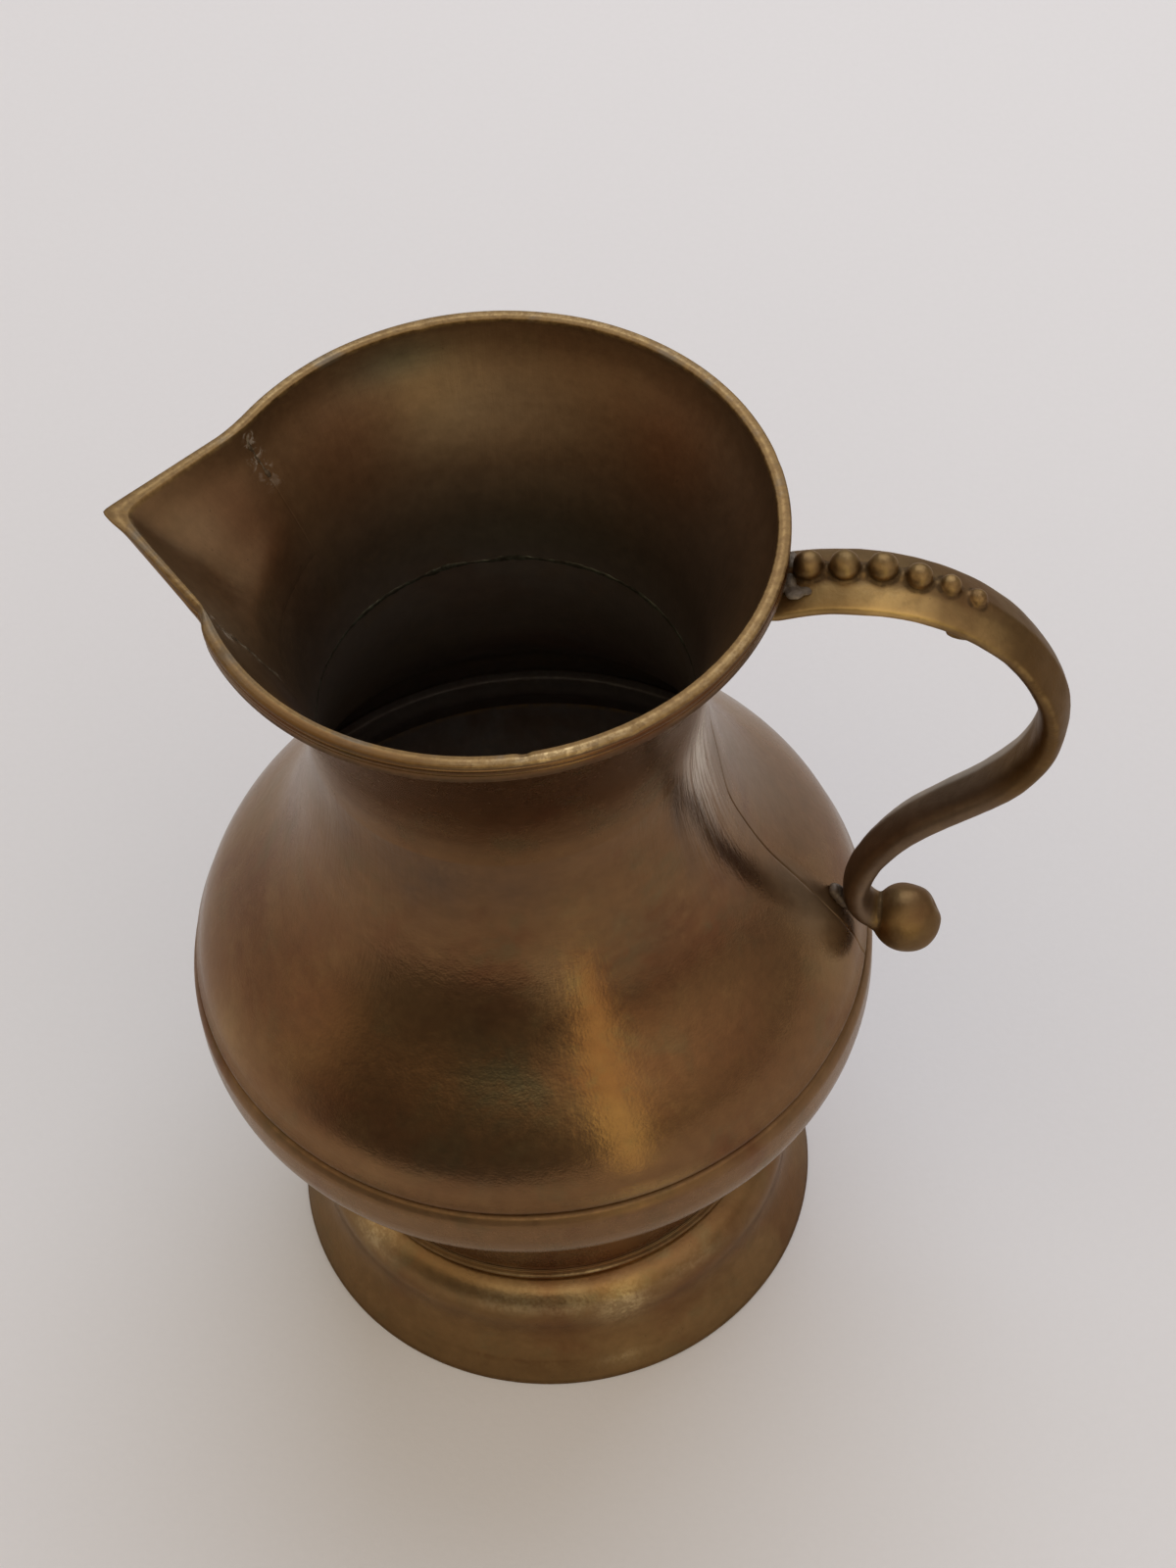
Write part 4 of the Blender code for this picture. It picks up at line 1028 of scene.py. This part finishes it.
    # relief: turning marks, brushing, pits
    h = k.math("MULTIPLY", bands, 0.6 * turned)
    if strokes:
        near = k.ramp(z, 0.092, 0.112, 0.2 * strokes, strokes)
        h = k.math("ADD", h, k.math("MULTIPLY", brush, near))
    h = k.math("ADD", h, k.math("MULTIPLY", fine, 0.55 * grit + cast))
    h = k.math("ADD", h, k.math("MULTIPLY", speck, 0.45 * grit + 0.3 * cast))
    if waves:
        h = k.math("ADD", h, k.math("MULTIPLY", k.noise(co, 260.0, 3.0, 0.6, 0.5), waves))
        bump = k.add("ShaderNodeBump")
    bump.inputs["Strength"].default_value = 0.35
    bump.inputs["Distance"].default_value = 0.00012
    k.link(h, bump.inputs["Height"])
    k.link(bump.outputs[0], k.b.inputs["Normal"])
    return k.mat


def braze_metal(name, dark, light, verd=(0.13, 0.15, 0.11), metal=0.7):
    k = Nodes(name)
    co = k.add("ShaderNodeTexCoord").outputs["Object"]
    mid = k.noise(co, 420.0, 5.0, 0.65, 0.5)
    fine = k.noise(co, 2200.0, 3.0, 0.6)
    col = k.mix(k.ramp(mid, 0.42, 0.62), rgb(*dark), rgb(*light))
    col = k.mix(k.math("MULTIPLY", k.ramp(fine, 0.58, 0.70), 0.6), col, rgb(*verd))
    k.link(col, k.b.inputs["Base Color"])
    k.b.inputs["Metallic"].default_value = metal
    k.put(k.b.inputs["Roughness"], k.ramp(fine, 0.3, 0.7, 0.42, 0.72))
    bump = k.add("ShaderNodeBump")
    bump.inputs["Strength"].default_value = 0.6
    bump.inputs["Distance"].default_value = 0.0002
    k.link(k.math("ADD", mid, k.math("MULTIPLY", fine, 0.5)), bump.inputs["Height"])
    k.link(bump.outputs[0], k.b.inputs["Normal"])
    return k.mat


def sheet_paper():
    k = Nodes("pale_sheet")
    co = k.add("ShaderNodeTexCoord").outputs["Object"]
    big = k.noise(co, 3.0, 3.0, 0.5)
    fine = k.noise(co, 700.0, 3.0, 0.6)
    col = k.mix(big, rgb(0.800, 0.785, 0.800), rgb(0.835, 0.822, 0.836))
    col = k.mix(k.math("MULTIPLY", k.ramp(fine, 0.3, 0.7), 0.06), col, rgb(0.70, 0.69, 0.68))
    k.link(col, k.b.inputs["Base Color"])
    k.b.inputs["Roughness"].default_value = 0.62
    bump = k.add("ShaderNodeBump")
    bump.inputs["Strength"].default_value = 0.12
    bump.inputs["Distance"].default_value = 0.0004
    k.link(fine, bump.inputs["Height"])
    k.link(bump.outputs[0], k.b.inputs["Normal"])
    return k.mat


# ------------------------------------------------------------------ assemble
def dress(obj, mat, node):
    obj.data.materials.clear()
    obj.data.materials.append(mat)
    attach(obj, "root")
    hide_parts(node)


m_mouth = brass("brass_mouth_aged", rough=0.25, strokes=0.7, waves=0.3, grit=0.5, coat=0.04, kind="mouth")
m_body = brass("brass_body_aged", rough=0.22, strokes=1.2, grimy=0.2, waves=1.0, coat=0.15, kind="body")
m_bowl = brass("brass_bowl_aged", base=(0.205, 0.112, 0.047), rough=0.26, grimy=0.2, waves=0.6, coat=0.15, kind="body")
m_foot = brass("brass_foot_aged", base=(0.22, 0.128, 0.052), red=(0.18, 0.088, 0.035),
               olive=(0.18, 0.125, 0.055), rough=0.31, edges=0.30, grimy=0.35, waves=1.5, coat=0.05, kind="foot")
m_cast = brass("brass_cast_aged", base=(0.180, 0.110, 0.046), red=(0.145, 0.078, 0.032), rough=0.45,
               turned=0.0, cast=0.4, metal=0.93, grimy=0.65, waves=2.0, coat=0.0, kind="cast")
m_braze = braze_metal("braze_aged", (0.11, 0.075, 0.042), (0.25, 0.20, 0.135), (0.16, 0.14, 0.10))
m_braze_dark = braze_metal("braze_browned", (0.095, 0.062, 0.038), (0.150, 0.108, 0.072), (0.09, 0.075, 0.055), metal=0.3)
m_braze_worn = braze_metal("braze_worn", (0.090, 0.062, 0.038), (0.175, 0.132, 0.090), (0.10, 0.09, 0.07), metal=0.4)
m_braze_green = braze_metal("braze_greened", (0.060, 0.050, 0.032), (0.115, 0.115, 0.078), (0.09, 0.11, 0.085))

collar_obj, spout_obj = mouth()
for piece in (collar_obj, spout_obj):
    # painted highlight inside the mouth and spout
    patches(piece, "painted_interior_highlight", [(97, 147, 24, 6, 1.0), (88, 137, 45, 6, 0.6), (204, 157, 9, 5, 1.0), (174, 154, 5, 4, 0.3)])
    patches(piece, "soot", [(20, 142, 34, 22, 0.6), (292, 138, 34, 12, 0.35), (214, 141, 10, 7, 0.9)])
    patches(piece, "dusty", [(196, 153, 10, 7, 0.3)])
    # painted sheen: pale reflected streaks at the foot of the neck
    patches(piece, "painted_sheen", [(346, 124, 9, 13, 1.0), (216, 124, 5, 9, 0.10), (90, 128, 30, 6, 0.12)])
    patches(piece, "russet", [(134, 150, 13, 8, 0.6), (166, 151, 8, 8, 0.7), (50, 150, 13, 8, 0.8), (240, 140, 30, 6, 0.3)])
    patches(piece, "verdant", [(117, 157.5, 12, 3, 0.7), (90, 130, 40, 5, 0.5)])
    # painted shade on the rim's face, front left
    patches(piece, "rim_painted_shade", [(244, 161.2, 24, 2, 0.9), (264, 161.2, 9, 2, 0.4)], lambda r, z: (r > 38.9) & (z > 159.4))
    # painted glint along the rim's outer edge
    patches(piece, "rim_painted_glint", [(289, 161.2, 8, 1.2, 1.0), (275, 161.2, 6, 1.2, 0.35), (303, 161.2, 8, 1.2, 0.35),
                             (330, 161.2, 14, 1.2, 0.25), (75, 161.2, 45, 1.2, 0.35), (140, 161.2, 25, 1.2, 0.4)],
            lambda r, z: (r > 38.9) & (z > 160.4))
dress(collar_obj, m_mouth, "mouth_collar")
dress(spout_obj, m_mouth, "spout")
shoulder_obj, bowl_obj = shoulder_piece(), bowl_piece()
for piece in (shoulder_obj, bowl_obj):
    patches(piece, "ruddy", RUDDY)
    patches(piece, "green", GREEN)
    # painted sheen: pale reflected streaks at the foot of the neck
    patches(piece, "painted_sheen", [(346, 124, 9, 13, 1.0), (216, 124, 5, 9, 0.10), (90, 128, 30, 6, 0.12)])
    # amber patches, partly painted highlight: the golden dash on the lip above the groove
    patches(piece, "amber_and_painted_highlight", [(212, 76.5, 11, 5, 0.7), (250, 73.5, 16, 2.5, 0.5), (351, 82, 9, 9, 0.7), (296, 70.6, 9, 0.8, 1.0), (248, 98, 9, 5, 0.5),
                             (284, 101, 7, 5, 0.6), (60, 84, 25, 9, 0.4), (150, 92, 20, 9, 0.4)])
    # violet patches, partly painted shade: darker spots on the upper shoulder and a narrow dark reflected streak
    patches(piece, "violet_and_painted_shade", [(250, 119, 20, 7, 0.9), (276, 119, 14, 6, 0.6), (222, 118, 14, 8, 0.7), (208, 126, 9, 10, 1.0), (331, 119, 3.0, 14, 1.0), (343, 98, 8, 7, 0.55),
                              (268, 77, 14, 3, 0.5), (90, 112, 40, 8, 0.4)])
    patches(piece, "dull", [(354, 87, 6, 8, 0.8), (358, 100, 6, 8, 0.4), (0, 112, 9, 8, 0.5),
                            (18, 95, 18, 16, 0.6), (190, 92, 16, 14, 0.25)])
dress(shoulder_obj, m_body, "shoulder_shell")
dress(bowl_obj, m_bowl, "lower_bowl")
dress(foot_piece(), m_foot, "foot")
dress(handle_piece(), m_cast, "handle")
dress(neck_ring(), m_braze_green, "neck_braze_ring")
dress(seam_run("spout_braze_front_skin", 1, 142.0, 157.0, 0.5, 3.0), m_braze, "spout_braze_front")
dress(seam_run("spout_braze_rear_skin", -1, 152.5, 160.2, 0.42, 8.0), m_braze, "spout_braze_rear")
dress(root_braze(), m_braze_worn, "handle_root_braze")
dress(scroll_braze(), m_braze_dark, "handle_scroll_braze")
dress(foot_braze(), m_braze, "foot_braze_ring")


# -------------------------------------------------------------- floor, light
def floor():
    bm = bmesh.new()
    bmesh.ops.create_grid(bm, x_segments=4, y_segments=4, size=3.0)
    me = bpy.data.meshes.new("pale_floor")
    bm.to_mesh(me)
    bm.free()
    obj = bpy.data.objects.new("pale_floor", me)
    bpy.context.scene.collection.objects.link(obj)
    me.materials.append(sheet_paper())


def soft_light(name, at, aim, size, power, colour, size_y=None, spread=180):
    data = bpy.data.lights.new(name, "AREA")
    data.shape = "RECTANGLE"
    data.size = size
    data.size_y = size_y or size
    data.energy = power
    data.color = colour
    data.spread = math.radians(spread)
    obj = bpy.data.objects.new(name, data)
    bpy.context.scene.collection.objects.link(obj)
    obj.location = at
    obj.rotation_mode = "QUATERNION"
    obj.rotation_quaternion = (Vector(aim) - Vector(at)).to_track_quat("-Z", "Y")
    return obj


CARD_R = 0.30


def curved_card(name, az0, az1, height):
    """Upright curved card round the front of the set, seen only in reflections."""
    n = 60
    verts, faces = [], []
    for i in range(n + 1):
        a = math.radians(az0 + (az1 - az0) * i / n)
        for zz in (0.001, height):
            verts.append((CARD_R * math.cos(a), CARD_R * math.sin(a), zz))
    for i in range(n):
        faces.append((2 * i, 2 * i + 2, 2 * i + 3, 2 * i + 1))
    me = bpy.data.meshes.new(name)
    me.from_pydata(verts, [], faces)
    obj = bpy.data.objects.new(name, me)
    bpy.context.scene.collection.objects.link(obj)
    obj.visible_camera = False
    obj.visible_diffuse = False
    obj.visible_shadow = False
    return obj


def card_shader(obj, colour, strength, fades):
    """Plain glow with soft edges: (kind, from, to, lean) in degrees or metres; lean shifts with height."""
    mat = bpy.data.materials.new(obj.name)
    mat.use_nodes = True
    t = mat.node_tree
    t.nodes.clear()

    def calc(op, a, b):
        n = t.nodes.new("ShaderNodeMath")
        n.operation = op
        for i, v in enumerate((a, b)):
            if isinstance(v, bpy.types.NodeSocket):
                t.links.new(v, n.inputs[i])
            else:
                n.inputs[i].default_value = v
        return n.outputs[0]

    out = t.nodes.new("ShaderNodeOutputMaterial")
    mixer = t.nodes.new("ShaderNodeMixShader")
    clear = t.nodes.new("ShaderNodeBsdfTransparent")
    glow = t.nodes.new("ShaderNodeEmission")
    glow.name = "glow"
    glow.inputs["Color"].default_value = (*colour, 1)
    glow.inputs["Strength"].default_value = strength
    co = t.nodes.new("ShaderNodeTexCoord")
    sep = t.nodes.new("ShaderNodeSeparateXYZ")
    t.links.new(co.outputs["Object"], sep.inputs[0])
    # the angle is measured from the set's front, azimuth 270
    ang = calc("MULTIPLY", calc("ARCTAN2", sep.outputs[0], calc("MULTIPLY", sep.outputs[1], -1.0)),
               180.0 / math.pi)
    prod = None
    for kind, lo, hi, lean in fades:
        mr = t.nodes.new("ShaderNodeMapRange")
        mr.interpolation_type = "SMOOTHSTEP"
        if kind == "az":
            t.links.new(calc("SUBTRACT", ang, calc("MULTIPLY", sep.outputs[2], lean)), mr.inputs["Value"])
            lo, hi = lo - 270, hi - 270
        else:
            t.links.new(calc("SUBTRACT", sep.outputs[2], calc("MULTIPLY", ang, lean)), mr.inputs["Value"])
        mr.inputs["From Min"].default_value = min(lo, hi)
        mr.inputs["From Max"].default_value = max(lo, hi)
        mr.inputs["To Min"].default_value = 0.0 if lo < hi else 1.0
        mr.inputs["To Max"].default_value = 1.0 if lo < hi else 0.0
        prod = mr.outputs["Result"] if prod is None else calc("MULTIPLY", prod, mr.outputs["Result"])
    t.links.new(prod, mixer.inputs[0])
    t.links.new(clear.outputs[0], mixer.inputs[1])
    t.links.new(glow.outputs[0], mixer.inputs[2])
    t.links.new(mixer.outputs[0], out.inputs["Surface"])
    obj.data.materials.append(mat)


def cards():
    dark = curved_card("dark_card", 190, 298, 0.24)
    card_shader(dark, (0.150, 0.132, 0.110), 1.0,
                [("az", 200, 228, 0), ("az", 296, 277, 0), ("z", 0.012, 0.040, 0.0006), ("z", 0.225, 0.165, 0)])
    warm = curved_card("warm_card", 286, 314, 0.34)
    card_shader(warm, (1.0, 0.92, 0.54), 1.75,
                [("az", 296.3, 298.3, -25), ("az", 305.0, 301.5, 14), ("z", 0.33, 0.20, 0)])


# soft lobes of room light: azimuth, elevation, half width in degrees, colour
LOBES = [
    (0, 14, 26, (0.21, 0.19, 0.17)),
    (45, 14, 26, (0.17, 0.165, 0.15)),
    (90, 14, 26, (0.40, 0.395, 0.38)),
    (180, 14, 26, (0.50, 0.49, 0.48)),
    (225, 14, 26, (0.40, 0.31, 0.20)),
    (315, 14, 26, (0.20, 0.160, 0.095)),
    (210, 45, 28, (0.56, 0.46, 0.32)),
    (282, 44, 16, (0.34, 0.34, 0.28)),
    (266, 41, 11, (1.10, 1.00, 0.76)),
    (330, 45, 28, (0.95, 0.86, 0.82)),
    (298, 30, 14, (0.60, 0.60, 0.50)),
]
BASE_LIGHT = (0.02, 0.02, 0.02)


def room():
    """Soft room light: an even tone plus a few broad lobes."""
    w = bpy.data.worlds.new("soft_room")
    bpy.context.scene.world = w
    w.use_nodes = True
    t = w.node_tree
    t.nodes.clear()
    out = t.nodes.new("ShaderNodeOutputWorld")
    bg = t.nodes.new("ShaderNodeBackground")
    co = t.nodes.new("ShaderNodeTexCoord")
    total = None
    start = t.nodes.new("ShaderNodeRGB")
    start.outputs[0].default_value = (*BASE_LIGHT, 1)
    total = start.outputs[0]
    for az, el, half, col in LOBES:
        a, e = math.radians(az), math.radians(el)
        dot = t.nodes.new("ShaderNodeVectorMath")
        dot.operation = "DOT_PRODUCT"
        t.links.new(co.outputs["Generated"], dot.inputs[0])
        dot.inputs[1].default_value = (math.cos(e) * math.cos(a), math.cos(e) * math.sin(a), math.sin(e))
        k = math.log(2) / (1 - math.cos(math.radians(half)))
        mul = t.nodes.new("ShaderNodeMath")
        mul.operation = "MULTIPLY_ADD"
        t.links.new(dot.outputs["Value"], mul.inputs[0])
        mul.inputs[1].default_value = k
        mul.inputs[2].default_value = -k
        ex = t.nodes.new("ShaderNodeMath")
        ex.operation = "EXPONENT"
        t.links.new(mul.outputs[0], ex.inputs[0])
        sc = t.nodes.new("ShaderNodeVectorMath")
        sc.operation = "SCALE"
        sc.inputs[0].default_value = col
        t.links.new(ex.outputs[0], sc.inputs["Scale"])
        add = t.nodes.new("ShaderNodeVectorMath")
        add.operation = "ADD"
        t.links.new(total, add.inputs[0])
        t.links.new(sc.outputs[0], add.inputs[1])
        total = add.outputs[0]
    t.links.new(total, bg.inputs["Color"])
    bg.inputs["Strength"].default_value = 1.0
    t.links.new(bg.outputs[0], out.inputs["Surface"])


def camera():
    data = bpy.data.cameras.new("photo_camera")
    obj = bpy.data.objects.new("photo_camera", data)
    bpy.context.scene.collection.objects.link(obj)
    data.sensor_width = 36.0
    data.sensor_fit = "AUTO"
    data.lens = 75.375
    data.clip_start, data.clip_end = 0.02, 20.0
    right = Vector((0.99437657, 0.09326745, -0.05016393))
    up = Vector((-0.04400917, 0.79477252, 0.6053097))
    back = -Vector((-0.09632461, 0.59969811, -0.79440779))
    m = Matrix((right, up, back)).transposed().to_4x4()
    m.translation = Vector((0.05624557, -0.28406088, 0.4821992))
    obj.matrix_world = m
    bpy.context.scene.camera = obj


floor()
cards()
room()
soft_light("key_back", (0.12, 0.80, 1.20), (0, 0, 0.05), 1.3, 8.9, (0.93, 1.0, 1.14))
camera()
view = bpy.context.scene.view_settings
view.view_transform = "Standard"
view.look = "None"
view.exposure = 0.0
view.gamma = 1.0
